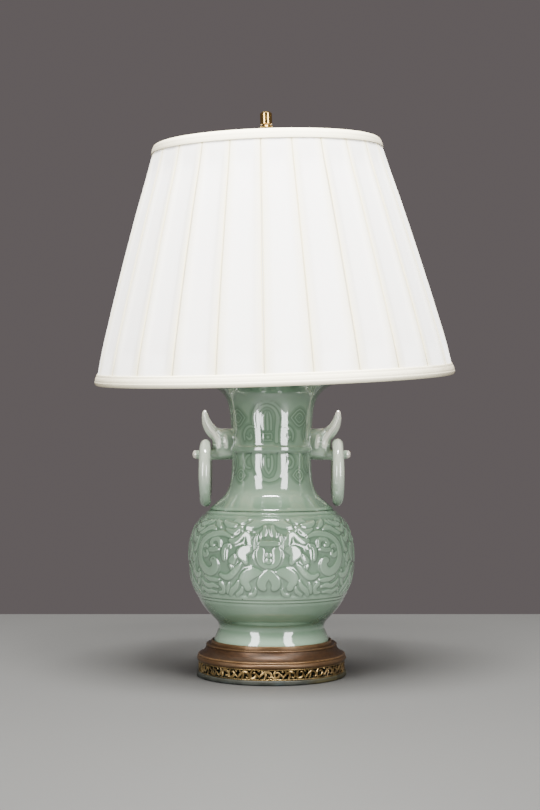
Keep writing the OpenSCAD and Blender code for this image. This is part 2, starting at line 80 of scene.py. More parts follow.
def areaLight(name, place, aim, width, tall, power):
    light = bpy.data.lights.new(name, "AREA")
    light.shape = "RECTANGLE"
    light.size = width
    light.size_y = tall
    light.energy = power
    lamp = bpy.data.objects.new(name, light)
    lamp.location = place
    lamp.rotation_euler = (Vector(aim) - Vector(place)).to_track_quat("-Z", "Y").to_euler()
    scene.collection.objects.link(lamp)


def lightStudio():
    wide, tall, reach = studio["stripWidth"], studio["stripTall"], studio["stripDistance"]
    middle = studio["stripLow"] + tall / 2
    for side in (-1, 1):
        turn = math.radians(side * studio["stripTurn"])
        place = (math.sin(turn) * reach, -math.cos(turn) * reach, middle)
        areaLight("strip", place, (0, 0, middle), wide, tall, studio["stripPower"])
    place = (0, -studio["topForward"], studio["topHeight"])
    size = studio["topSize"]
    areaLight("top", place, (0, 0, studio["topAim"]), size, size, studio["topPower"])
    room = bpy.data.worlds.new("room")
    room.use_nodes = True
    backdrop = room.node_tree.nodes["Background"]
    backdrop.inputs["Color"].default_value = studio["roomColour"]
    backdrop.inputs["Strength"].default_value = studio["roomStrength"]
    scene.world = room


placeCamera()
lightStudio()
print("camera and lights")


# Curves and meshes

def smoothCurve(stations, steps):
    points = [np.array(p, float) for p in stations]
    ends = [points[0]] + points + [points[-1]]
    curve = []
    for a, b, c, d in zip(ends, ends[1:], ends[2:], ends[3:]):
        for k in range(steps):
            t = k / steps
            curve.append(0.5 * (2 * b + (c - a) * t + (2 * a - 5 * b + 4 * c - d) * t ** 2
                                + (3 * b - a - 3 * c + d) * t ** 3))
    curve.append(points[-1])
    return curve


def arc(x, z, radius, start, end, steps):
    turns = np.radians(np.linspace(start, end, steps + 1))
    return [(x + radius * math.cos(t), z + radius * math.sin(t)) for t in turns]


def worn(points, wear):
    return [(x, z, wear) for x, z in points]


def rounded(corners, radius):
    points = []
    for k, corner in enumerate(corners):
        here = np.array(corner[:2], float)
        before = np.array(corners[k - 1][:2], float) - here
        after = np.array(corners[(k + 1) % len(corners)][:2], float) - here
        cut = min(radius, np.linalg.norm(before) * 0.45, np.linalg.norm(after) * 0.45)
        a = here + before / np.linalg.norm(before) * cut
        b = here + after / np.linalg.norm(after) * cut
        for t in np.linspace(0, 1, 4):
            bend = (1 - t) ** 2 * a + 2 * t * (1 - t) * here + t * t * b
            points.append(tuple(bend) + tuple(corner[2:]))
    return points


def ease(low, high, value):
    t = np.clip((value - low) / (high - low), 0, 1)
    return t * t * (3 - 2 * t)


def at(x, y, z):
    return Matrix.Translation((x * mm, y * mm, z * mm))


def placed(bm, place):
    bmesh.ops.transform(bm, matrix=place, verts=bm.verts)
    return bm


def spun(outline, steps, place=None):
    bm = bmesh.new()
    wear = bm.verts.layers.float.new("wear")
    corners = []
    for point in outline:
        corner = bm.verts.new((point[0] * mm, 0, point[1] * mm))
        corner[wear] = point[2] if len(point) > 2 else 0
        corners.append(corner)
    pairs = list(zip(corners, corners[1:]))
    if outline[0][0] > 0 or outline[-1][0] > 0:
        pairs.append((corners[-1], corners[0]))
    edges = [bm.edges.new(pair) for pair in pairs]
    bmesh.ops.spin(bm, geom=corners + edges, cent=(0, 0, 0), axis=(0, 0, 1), angle=2 * math.pi,
                   steps=steps, use_merge=True)
    bmesh.ops.remove_doubles(bm, verts=bm.verts, dist=1e-6)
    bmesh.ops.recalc_face_normals(bm, faces=bm.faces)
    return placed(bm, place) if place else bm


def creased(bm, angle):
    for face in bm.faces:
        face.smooth = True
    for edge in bm.edges:
        if len(edge.link_faces) == 2 and edge.calc_face_angle(0) > math.radians(angle):
            edge.smooth = False


def piece(bm, name, material, body, stands, crease=32):
    creased(bm, crease)
    mesh = bpy.data.meshes.new(name)
    bm.to_mesh(mesh)
    bm.free()
    made = bpy.data.objects.new(name, mesh)
    scene.collection.objects.link(made)
    mesh.materials.append(material)
    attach(made, body)
    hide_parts(*stands)
    return made


def settled(made):
    graph = bpy.context.evaluated_depsgraph_get()
    mesh = bpy.data.meshes.new_from_object(made.evaluated_get(graph))
    made.modifiers.clear()
    made.data = mesh


def joined(parts):
    whole = bmesh.new()
    for part in parts:
        carrier = bpy.data.meshes.new("part")
        part.to_mesh(carrier)
        part.free()
        whole.from_mesh(carrier)
        bpy.data.meshes.remove(carrier)
    return whole


def rod(points, radii, sides=12):
    line = bpy.data.curves.new("rod", "CURVE")
    line.dimensions = "3D"
    line.bevel_depth = mm
    line.bevel_resolution = max(sides // 4 - 1, 0)
    line.use_fill_caps = True
    spline = line.splines.new("POLY")
    spline.points.add(len(points) - 1)
    if not hasattr(radii, "__len__"):
        radii = [radii] * len(points)
    for knot, point, radius in zip(spline.points, points, radii):
        knot.co = (point[0] * mm, point[1] * mm, point[2] * mm, 1)
        knot.radius = radius
    carrier = bpy.data.objects.new("rod", line)
    scene.collection.objects.link(carrier)
    graph = bpy.context.evaluated_depsgraph_get()
    mesh = bpy.data.meshes.new_from_object(carrier.evaluated_get(graph))
    bpy.data.objects.remove(carrier)
    bpy.data.curves.remove(line)
    bm = bmesh.new()
    bm.from_mesh(mesh)
    bpy.data.meshes.remove(mesh)
    bmesh.ops.remove_doubles(bm, verts=bm.verts, dist=1e-7)
    bmesh.ops.recalc_face_normals(bm, faces=bm.faces)
    return bm


def readPoints(made):
    spots = np.empty(len(made.data.vertices) * 3, np.float32)
    made.data.vertices.foreach_get("co", spots)
    return spots.reshape(-1, 3).astype(float) / mm


def moved(made, change):
    new = change(readPoints(made))
    made.data.vertices.foreach_set("co", (new * mm).astype(np.float32).ravel())
    made.data.update()


def markPoints(mesh, name, values):
    layer = mesh.attributes.get(name) or mesh.attributes.new(name, "FLOAT", "POINT")
    layer.data.foreach_set("value", np.asarray(values, np.float32))


# Node groups and materials

def addNode(tree, kind, settings=None, inputs=None):
    made = tree.nodes.new(kind)
    for key, value in (settings or {}).items():
        setattr(made, key, value)
    for key, value in (inputs or {}).items():
        if isinstance(value, bpy.types.NodeSocket):
            tree.links.new(value, made.inputs[key])
        else:
            made.inputs[key].default_value = value
    return made


def maths(tree, operation, *values, clamp=False):
    settings = {"operation": operation, "use_clamp": clamp}
    return addNode(tree, "ShaderNodeMath", settings, dict(enumerate(values))).outputs[0]


def axesOf(tree, vector):
    return addNode(tree, "ShaderNodeSeparateXYZ", inputs={"Vector": vector}).outputs


def scaled(tree, vector, scale):
    return addNode(tree, "ShaderNodeMapping", inputs={"Vector": vector, "Scale": scale}).outputs[0]


def newGroup(name, takes, gives):
    group = bpy.data.node_groups.new(name, "ShaderNodeTree")
    group.interface.new_socket(name="Vector", in_out="INPUT", socket_type="NodeSocketVector")
    for label, value in takes.items():
        socket = group.interface.new_socket(name=label, in_out="INPUT", socket_type="NodeSocketFloat")
        socket.default_value = value
    for label in gives:
        group.interface.new_socket(name=label, in_out="OUTPUT", socket_type="NodeSocketFloat")
    entry = addNode(group, "NodeGroupInput")
    leave = addNode(group, "NodeGroupOutput")
    return group, entry.outputs, leave


def mottleGroup():
    group, takes, leave = newGroup(
        "mottle", {"Scale": 40.0, "Detail": 5.0, "From": 0.4, "To": 0.6}, ["Mask", "Noise"])
    noise = addNode(group, "ShaderNodeTexNoise", inputs={
        "Vector": takes["Vector"], "Scale": takes["Scale"], "Detail": takes["Detail"]})
    spread = addNode(group, "ShaderNodeMapRange", {"interpolation_type": "SMOOTHSTEP"}, {
        "Value": noise.outputs["Fac"], "From Min": takes["From"], "From Max": takes["To"]})
    group.links.new(spread.outputs["Result"], leave.inputs["Mask"])
    group.links.new(noise.outputs["Fac"], leave.inputs["Noise"])
    return group


def speckGroup():
    group, takes, leave = newGroup("specks", {"Scale": 60.0, "Size": 0.1, "Share": 0.3}, ["Mask"])
    cells = addNode(group, "ShaderNodeTexVoronoi", inputs={
        "Vector": takes["Vector"], "Scale": takes["Scale"]})
    dot = maths(group, "LESS_THAN", cells.outputs["Distance"], takes["Size"])
    pick = addNode(group, "ShaderNodeSeparateColor", inputs={"Color": cells.outputs["Color"]})
    kept = maths(group, "LESS_THAN", pick.outputs[0], takes["Share"])
    group.links.new(maths(group, "MULTIPLY", dot, kept), leave.inputs["Mask"])
    return group


def weaveGroup():
    group, takes, leave = newGroup("weave", {"Threads": 2600.0, "Slub": 0.4}, ["Height", "Slubs"])
    axes = axesOf(group, takes["Vector"])
    turns = [maths(group, "MULTIPLY", axes[axis], takes["Threads"]) for axis in (0, 1)]
    waves = [maths(group, "SINE", turn) for turn in turns]
    streaks = []
    for stretch in ((1, 0.05, 1), (0.05, 1, 1)):
        noise = addNode(group, "ShaderNodeTexNoise", inputs={
            "Vector": scaled(group, takes["Vector"], stretch), "Scale": 900.0, "Detail": 2.0})
        streaks.append(noise.outputs["Fac"])
    slubs = maths(group, "ADD", *streaks)
    rise = maths(group, "MULTIPLY", slubs, takes["Slub"])
    height = maths(group, "MULTIPLY_ADD", maths(group, "MAXIMUM", *waves), 0.25, rise)
    group.links.new(height, leave.inputs["Height"])
    group.links.new(slubs, leave.inputs["Slubs"])
    return group


mottle = mottleGroup()
specks = speckGroup()
weave = weaveGroup()


def startMaterial(name, levels):
    made = bpy.data.materials.new(name)
    made.use_nodes = True
    shader = made.node_tree.nodes["Principled BSDF"]
    for label, value in levels.items():
        shader.inputs[label].default_value = value
    return made, made.node_tree, shader


def useGroup(tree, group, inputs):
    return addNode(tree, "ShaderNodeGroup", {"node_tree": group}, inputs).outputs


def mottled(tree, where, scale, detail, low, high):
    return useGroup(tree, mottle, {
        "Vector": where, "Scale": scale, "Detail": detail, "From": low, "To": high})


def blended(tree, mask, low, high):
    mix = addNode(tree, "ShaderNodeMix", {"data_type": "RGBA"}, {0: mask, 6: low, 7: high})
    return mix.outputs[2]


def mapped(tree, value, low, high, fromLow=0.0, fromHigh=1.0):
    return addNode(tree, "ShaderNodeMapRange", inputs={
        "Value": value, "From Min": fromLow, "From Max": fromHigh,
        "To Min": low, "To Max": high}).outputs["Result"]


def bumped(tree, shader, height, depth, strength=1.0):
    bump = addNode(tree, "ShaderNodeBump", inputs={
        "Height": height, "Distance": depth, "Strength": strength})
    tree.links.new(bump.outputs["Normal"], shader.inputs["Normal"])


def objectCoords(tree):
    return addNode(tree, "ShaderNodeTexCoord").outputs["Object"]


def attribute(tree, name):
    return addNode(tree, "ShaderNodeAttribute", {"attribute_name": name}).outputs["Fac"]


def connect(tree, shader, colour, rough):
    tree.links.new(colour, shader.inputs["Base Color"])
    tree.links.new(rough, shader.inputs["Roughness"])


def glazeMaterial(name, look):
    made, tree, shader = startMaterial(name, {
        "IOR": 1.6, "Coat Weight": 1.0, "Coat Roughness": 0.05, "Coat IOR": 1.7})
    where = objectCoords(tree)
    cloud = mottled(tree, where, look["cloudScale"], 3.0, 0.35, 0.65)
    # poolAndShade runs the ramp from thin to deep glaze; in places it is painted shade or a painted
    # highlight
    poolAndShade = attribute(tree, "poolAndShade")
    depth = maths(tree, "MULTIPLY_ADD", cloud["Mask"], look["cloudShare"], poolAndShade, clamp=True)
    ramp = addNode(tree, "ShaderNodeValToRGB", inputs={"Fac": depth})
    stops = ramp.color_ramp.elements
    stops[0].color = look["thin"]
    stops[1].color = look["deep"]
    stops.new(0.5).color = look["usual"]
    colour = blended(tree, attribute(tree, "bare"), ramp.outputs["Color"], look["bare"])
    dots = useGroup(tree, specks, {
        "Vector": where, "Scale": look["speckScale"], "Size": 0.11, "Share": look["speckShare"]})
    colour = blended(tree, mapped(tree, dots["Mask"], 0.0, 0.75), colour, look["speck"])
    skin = mottled(tree, where, 260.0, 2.0, 0.3, 0.7)
    connect(tree, shader, colour, mapped(tree, skin["Noise"], look["gloss"], look["gloss"] + 0.07))
    bumped(tree, shader, skin["Noise"], 0.00006, 0.5)
    return made


def metalMaterial(name, look):
    made, tree, shader = startMaterial(name, {
        "Metallic": look["metal"], "Specular IOR Level": look.get("specular", 0.5)})
    where = objectCoords(tree)
    if "brushed" in look:
        where = scaled(tree, where, look["brushed"])
    patches = mottled(tree, where, look["patchScale"], 6.0, look["patchFrom"], look["patchTo"])
    colour = blended(tree, patches["Mask"], look["base"], look["patch"])
    if "left" in look:
        drift = maths(tree, "MULTIPLY_ADD", patches["Noise"], 0.09, axesOf(tree, where)["X"])
        colour = blended(tree, mapped(tree, drift, 0.85, 0.0, -0.02, 0.015), colour, look["left"])
        colour = blended(tree, mapped(tree, drift, 0.0, 0.8, 0.075, 0.11), colour, look["right"])
    fine = mottled(tree, where, look["patchScale"] * 7, 4.0, 0.35, 0.7)
    colour = blended(tree, mapped(tree, fine["Mask"], 0.0, look["grime"]), colour, look["dirt"])
    ragged = mapped(tree, fine["Noise"], 0.4, 1.5, 0.3, 0.7)
    rubbed = maths(tree, "MULTIPLY", attribute(tree, "wear"), ragged, clamp=True)
    colour = blended(tree, rubbed, colour, look["edge"])
    dull = mapped(tree, patches["Mask"], look["rough"], look["rough"] + look["patchRough"])
    rough = maths(tree, "MULTIPLY_ADD", rubbed, -0.45 * look["rough"], dull, clamp=True)
    connect(tree, shader, colour, rough)
    if look["metal"] < 1:
        shine = mapped(tree, patches["Mask"], look["metal"], look["metal"] * look.get("patchMetal", 1))
        tree.links.new(shine, shader.inputs["Metallic"])
    bumped(tree, shader, fine["Noise"], look["pitting"])
    return made


def clothMaterial(name, look):
    made, tree, shader = startMaterial(name, {
        "Roughness": 0.78, "Sheen Weight": look["sheen"], "Sheen Roughness": 0.4})
    threads = addNode(tree, "ShaderNodeUVMap", {"uv_map": "cloth"}).outputs["UV"]
    woven = useGroup(tree, weave, {"Vector": threads, "Threads": look["threads"], "Slub": look["slub"]})
    colour = blended(tree, attribute(tree, "fold"), look["plain"], look["doubledAndSideShade"])
    slubs = mapped(tree, woven["Slubs"], 0.0, look["slubTint"], 0.85, 1.3)
    colour = blended(tree, slubs, colour, look["thread"])
    soil = mottled(tree, objectCoords(tree), 9.0, 3.0, 0.4, 0.75)
    colour = blended(tree, mapped(tree, soil["Mask"], 0.0, look["ageing"]), colour, look["aged"])
    tree.links.new(colour, shader.inputs["Base Color"])
    bumped(tree, shader, woven["Height"], look["relief"])
    return made


def plasticMaterial(name, look):
    made, tree, shader = startMaterial(name, {})
    grain = mottled(tree, objectCoords(tree), look["grain"], 4.0, 0.3, 0.7)
    colour = blended(tree, mapped(tree, grain["Mask"], 0.0, 0.5), look["base"], look["fleck"])
    connect(tree, shader, colour, mapped(tree, grain["Noise"], look["rough"], look["rough"] + 0.15))
    bumped(tree, shader, grain["Noise"], look["relief"])
    return made


def frostedGlass():
    made, tree, shader = startMaterial("frostedGlass", {"Transmission Weight": 0.35, "IOR": 1.5})
    frost = mottled(tree, objectCoords(tree), 700.0, 3.0, 0.3, 0.7)
    colour = blended(tree, frost["Mask"], (0.95, 0.95, 0.93, 1), (0.86, 0.86, 0.83, 1))
    connect(tree, shader, colour, mapped(tree, frost["Noise"], 0.22, 0.34))
    return made


metals = {
    "patinatedCopper": dict(
        base=(0.064, 0.033, 0.0165, 1), patch=(0.044, 0.025, 0.014, 1), dirt=(0.020, 0.014, 0.009, 1),
        edge=(0.27, 0.155, 0.065, 1), patchScale=28, patchFrom=0.42, patchTo=0.62, grime=0.5,
        rough=0.36, patchRough=0.12, metal=0.6, patchMetal=0.7, pitting=0.00006, specular=0.3,
        brushed=(1, 1, 5)),
    "giltGallery": dict(
        base=(0.055, 0.031, 0.011, 1), patch=(0.030, 0.019, 0.009, 1), dirt=(0.008, 0.006, 0.004, 1),
        edge=(0.33, 0.22, 0.085, 1), left=(0.045, 0.05, 0.036, 1), right=(0.13, 0.09, 0.06, 1),
        patchScale=60, patchFrom=0.42, patchTo=0.6, grime=0.6, specular=0.3,
        rough=0.34, patchRough=0.2, metal=0.9, patchMetal=0.8, pitting=0.00012),
    "harpBrass": dict(
        base=(0.70, 0.52, 0.24, 1), patch=(0.58, 0.42, 0.19, 1), dirt=(0.30, 0.21, 0.10, 1),
        edge=(0.80, 0.62, 0.30, 1), patchScale=45, patchFrom=0.45, patchTo=0.65, grime=0.25,
        rough=0.24, patchRough=0.1, metal=1, pitting=0.00002),
    "polishedBrass": dict(
        base=(0.76, 0.57, 0.26, 1), patch=(0.66, 0.48, 0.21, 1), dirt=(0.36, 0.25, 0.11, 1),
        edge=(0.86, 0.68, 0.34, 1), patchScale=35, patchFrom=0.5, patchTo=0.7, grime=0.2,
        rough=0.17, patchRough=0.1, metal=1, pitting=0.00001, brushed=(1, 1, 6)),
    "socketBrass": dict(
        base=(0.68, 0.52, 0.27, 1), patch=(0.55, 0.41, 0.20, 1), dirt=(0.25, 0.18, 0.09, 1),
        edge=(0.82, 0.65, 0.34, 1), patchScale=50, patchFrom=0.45, patchTo=0.68, grime=0.3,
        rough=0.3, patchRough=0.12, metal=1, pitting=0.00002, brushed=(1, 1, 8)),
    "finialBrass": dict(
        base=(0.70, 0.46, 0.15, 1), patch=(0.55, 0.35, 0.11, 1), dirt=(0.10, 0.065, 0.02, 1),
        edge=(0.80, 0.58, 0.25, 1), patchScale=70, patchFrom=0.5, patchTo=0.7, grime=0.25,
        rough=0.16, patchRough=0.1, metal=1, pitting=0.00001, brushed=(1, 1, 6)),
    "pipeBrass": dict(
        base=(0.55, 0.43, 0.22, 1), patch=(0.42, 0.31, 0.15, 1), dirt=(0.16, 0.12, 0.07, 1),
        edge=(0.74, 0.60, 0.32, 1), patchScale=60, patchFrom=0.4, patchTo=0.65, grime=0.4,
        rough=0.38, patchRough=0.15, metal=1, pitting=0.00004, brushed=(1, 1, 30)),
    "zincSteel": dict(
        base=(0.56, 0.57, 0.59, 1), patch=(0.44, 0.45, 0.46, 1), dirt=(0.22, 0.21, 0.20, 1),
        edge=(0.72, 0.72, 0.73, 1), patchScale=90, patchFrom=0.4, patchTo=0.62, grime=0.3,
        rough=0.34, patchRough=0.12, metal=1, pitting=0.00003),
    "castIron": dict(
        base=(0.10, 0.10, 0.105, 1), patch=(0.15, 0.12, 0.10, 1), dirt=(0.05, 0.045, 0.04, 1),
        edge=(0.24, 0.23, 0.22, 1), patchScale=70, patchFrom=0.45, patchTo=0.7, grime=0.6,
        rough=0.66, patchRough=0.15, metal=0.7, patchMetal=0.5, pitting=0.0004),
    "aluminium": dict(
        base=(0.72, 0.72, 0.73, 1), patch=(0.62, 0.62, 0.63, 1), dirt=(0.35, 0.34, 0.33, 1),
        edge=(0.85, 0.85, 0.86, 1), patchScale=80, patchFrom=0.45, patchTo=0.65, grime=0.2,
        rough=0.26, patchRough=0.1, metal=1, pitting=0.00002),
    "frameWire": dict(
        base=(0.80, 0.79, 0.75, 1), patch=(0.74, 0.72, 0.66, 1), dirt=(0.55, 0.50, 0.42, 1),
        edge=(0.86, 0.85, 0.82, 1), patchScale=60, patchFrom=0.5, patchTo=0.7, grime=0.25,
        rough=0.36, patchRough=0.1, metal=0.02, pitting=0.00004),
}


def rimMaterial():
    made, tree, shader = startMaterial("patinatedRim", {"Specular IOR Level": 0.3})
    where = objectCoords(tree)
    patches = mottled(tree, where, 70.0, 6.0, 0.4, 0.62)
    green = blended(tree, patches["Mask"], (0.020, 0.0245, 0.021, 1), (0.009, 0.012, 0.011, 1))
    cloud = mottled(tree, where, 24.0, 4.0, 0.52, 0.66)
    green = blended(tree, mapped(tree, cloud["Mask"], 0.0, 0.7), green, (0.025, 0.043, 0.049, 1))
    olive = blended(tree, patches["Mask"], (0.048, 0.038, 0.008, 1), (0.024, 0.019, 0.005, 1))
    side = maths(tree, "MULTIPLY_ADD", cloud["Noise"], 0.05, axesOf(tree, where)["X"])
    turn = addNode(tree, "ShaderNodeMapRange", {"interpolation_type": "SMOOTHSTEP"}, {
        "Value": side, "From Min": 0.058, "From Max": 0.068})
    colour = blended(tree, turn.outputs["Result"], green, olive)
    colour = blended(tree, attribute(tree, "wear"), colour, (0.035, 0.035, 0.026, 1))
    connect(tree, shader, colour, mapped(tree, patches["Mask"], 0.55, 0.4))
    tree.links.new(mapped(tree, patches["Mask"], 0.2, 0.4), shader.inputs["Metallic"])
    bumped(tree, shader, patches["Noise"], 0.0005)
    return made


celadon = {
    "thin": (0.31, 0.415, 0.31, 1), "usual": (0.128, 0.203, 0.135, 1), "deep": (0.032, 0.064, 0.037, 1),
    "bare": (0.62, 0.54, 0.48, 1), "speck": (0.05, 0.065, 0.05, 1),
    "cloudScale": 14.0, "cloudShare": 0.10, "speckScale": 95.0, "speckShare": 0.06, "gloss": 0.06,
}
paleCeladon = dict(
    celadon, thin=(0.66, 0.67, 0.57, 1), usual=(0.27, 0.35, 0.265, 1), deep=(0.08, 0.13, 0.085, 1))
cloths = {
    "pleatedSilk": dict(
        plain=(0.90, 0.87, 0.825, 1), doubledAndSideShade=(0.80, 0.70, 0.38, 1), thread=(0.91, 0.885, 0.83, 1),
        aged=(0.87, 0.81, 0.68, 1), ageing=0.10, threads=5200.0, slub=0.5, slubTint=0.25, sheen=0.25,
        relief=0.00008),
    # its doubledAndSideShade colour is the painted shade at the bindings' left and right sides
    "trimSilk": dict(
        plain=(0.97, 0.90, 0.66, 1), doubledAndSideShade=(0.17, 0.125, 0.06, 1), thread=(0.97, 0.92, 0.76, 1),
        aged=(0.92, 0.82, 0.56, 1), ageing=0.15, threads=4800.0, slub=0.4, slubTint=0.3, sheen=0.05,
        relief=0.0001),
    "liningCloth": dict(
        plain=(0.80, 0.78, 0.72, 1), doubledAndSideShade=(0.76, 0.72, 0.64, 1), thread=(0.82, 0.80, 0.74, 1),
        aged=(0.72, 0.66, 0.54, 1), ageing=0.25, threads=4200.0, slub=0.2, slubTint=0.2, sheen=0.1,
        relief=0.00005),
}
plastics = {
    "phenolic": dict(
        base=(0.035, 0.025, 0.02, 1), fleck=(0.06, 0.04, 0.03, 1), grain=300.0, rough=0.24,
        relief=0.00002),
    "bushingPlastic": dict(
        base=(0.03, 0.03, 0.028, 1), fleck=(0.05, 0.05, 0.046, 1), grain=500.0, rough=0.5,
        relief=0.00005),
    "insulatingCard": dict(
        base=(0.24, 0.17, 0.11, 1), fleck=(0.33, 0.25, 0.17, 1), grain=420.0, rough=0.85, relief=0.0002),
    "felt": dict(
        base=(0.07, 0.10, 0.055, 1), fleck=(0.13, 0.16, 0.10, 1), grain=900.0, rough=0.85, relief=0.0006),
}

glaze = glazeMaterial("celadonGlaze", celadon)
handleGlaze = glazeMaterial("celadonHandles", paleCeladon)
metal = {name: metalMaterial(name, look) for name, look in metals.items()}
rimPatina = rimMaterial()
cloth = {name: clothMaterial(name, look) for name, look in cloths.items()}
plastic = {name: plasticMaterial(name, look) for name, look in plastics.items()}
glass = frostedGlass()
print("materials")


# The pot: one outline from foot to lip, in two sections that meet in the upper groove

pot = {
    "outline": [
        (64.5, 36), (64.2, 41), (61.8, 47), (59.6, 53.5), (61, 60), (67.4, 67), (74.4, 75), (80.5, 84),
        (86, 94), (90, 104.5), (92.4, 116), (93.5, 130), (93.4, 142), (91.9, 153), (88.4, 163),
        (83.3, 172.5), (76, 181), (67.5, 189), (59, 196.5), (51.5, 204), (47.5, 213), (45.6, 225),
        (45, 238), (45.3, 248.5), (46.6, 251.5), (46.6, 255.5), (45.3, 258.5), (45.4, 270),
        (46.3, 283), (47.8, 297), (50.2, 307), (54.8, 315), (62, 321), (68, 325), (70.2, 328.2),
        (69, 331)],
    "foot": 36, "wall": 6, "floor": 46, "footHole": 7, "luting": 186,
    "bodySteps": 360, "neckSteps": 256,
    "belt": (94, 179), "collar": (206, 304),
    "grooves": (185.9, 181.6, 90.2, 86.9), "grooveDepth": 0.85, "grooveWidth": 0.85,
    "beltGround": 0.88, "beltCrown": 0.12, "beltEdge": 1.0, "beltMoat": 1.5, "beltGrow": 0.4,
    "neckGround": 0.07, "neckCrown": 0.01, "neckEdge": 0.9, "neckMoat": 1.2, "neckGrow": 0.0,
    "beltRadius": 93.5, "neckRadius": 46,
    "beltShift": 3.2, "neckShift": 3.9,       # the motifs' middle, to the left of the front
    "neckSlant": 0.025,                       # how much further left it stands for each mm up
    "neckLevel": 260,                         # the height that the slant is measured from
    "ridge": 253.5,                           # the small ridge round the neck's middle
    "usualPool": 0.42,
    # darker or paler bands round the pot: height, how far it fades, how much; the band at 61 under the
    # belly is painted shade, the paler band at 204 is a painted highlight, and the rest make the foot
    # paler and the shoulder and the ridge's foot darker
    "poolsAndShade": [(61, 9, 0.27), (43, 8, -0.22), (188, 6, 0.14), (204, 8, -0.12), (249, 2, 0.25)],
    # painted shadow of the lampshade: darker up the neck's flare
    "neckTopShadow": (290, 325, 0.30),
}
potCurve = np.array(smoothCurve(pot["outline"], 10))


def potRadius(z):
    return np.interp(z, potCurve[:, 1], potCurve[:, 0])


# Strokes are (distance round from the motif's middle, height, half width); a very short one is a dot
beastMask = [
    [(0, 177.2, 2.6), (8, 177, 4.2), (14.4, 174.8, 5.0), (20.4, 172, 3.2), (27, 171, 1.4)],
    [(4.2, 170.2, 2.1), (4.8, 166.4, 2.5), (6.6, 163.2, 3.2)],
    [(0, 153.1, 2.3), (6, 153.3, 2.5), (10.2, 153, 1.9)],
    [(9.6, 144.6, 4.4), (9.6, 138.4, 3.9), (8.2, 132.4, 2.8), (4.2, 128.9, 2.1), (0, 128.2, 1.9)],
    [(0, 140.2, 2.4), (0.01, 140.1, 2.4)],
    [(0, 134, 2.6), (0.01, 133.9, 2.6)],
    [(14.6, 160.6, 1.2), (15.4, 154.4, 1.9), (15.2, 148, 1.5)],
    [(35.2, 139.6, 2.2), (38.8, 137.6, 3.0), (41.2, 133.8, 4.0)],
    [(19.8, 148.4, 2.8), (21.4, 155, 3.1), (23.6, 160.8, 3.2), (28, 163.2, 2.8), (31.8, 159.6, 2.8),
     (36, 156.2, 2.9), (41, 154.8, 2.7), (45.2, 156, 1.5)],
    [(20.6, 146.4, 3.0), (27.6, 144.8, 5.4), (31.4, 142.4, 4.8), (27.6, 138, 4.4), (25, 132.8, 2.4)],
    [(10, 121.6, 2.4), (16, 121.8, 5.0), (22.6, 119.4, 6.2), (27.2, 114.4, 5.6), (26, 109.2, 4.0),
     (24, 105.4, 3.6)],
    [(0, 122.6, 2.6), (3.4, 118, 4.2), (7.4, 112.4, 4.8), (8, 107.6, 4.3), (5.8, 104.6, 2.6)],
    [(44, 128.8, 1.2), (41, 125.4, 2.2), (39.4, 122, 2.4)],
    [(31, 130, 1.4), (34.8, 126.4, 2.8), (39.2, 121.6, 3.0), (45.4, 116.6, 3.0), (51.6, 116, 2.5),
     (56.6, 118.4, 1.6)],
    [(34.6, 111.4, 1.4), (37.8, 106, 2.4), (43, 101.6, 2.6), (46.4, 97.2, 1.8)],
    [(14.6, 103.4, 1.0), (17, 98.2, 1.6), (23, 96.6, 1.2)],
    [(30.4, 105, 1.2), (32.6, 100.4, 2.0), (38, 97, 1.6)],
    [(29.6, 176.6, 1.2), (35.4, 175.4, 2.0), (41.4, 176.6, 1.8), (47, 174.4, 1.2)],
    [(31.6, 166.8, 1.4), (35.6, 169, 2.2), (40, 165.6, 2.3), (46, 165.2, 2.0), (53, 168, 1.2)],
    [(41.4, 171.8, 1.4), (47.4, 171.6, 2.4), (53.6, 172.6, 2.4), (60, 175.4, 1.3)],
]
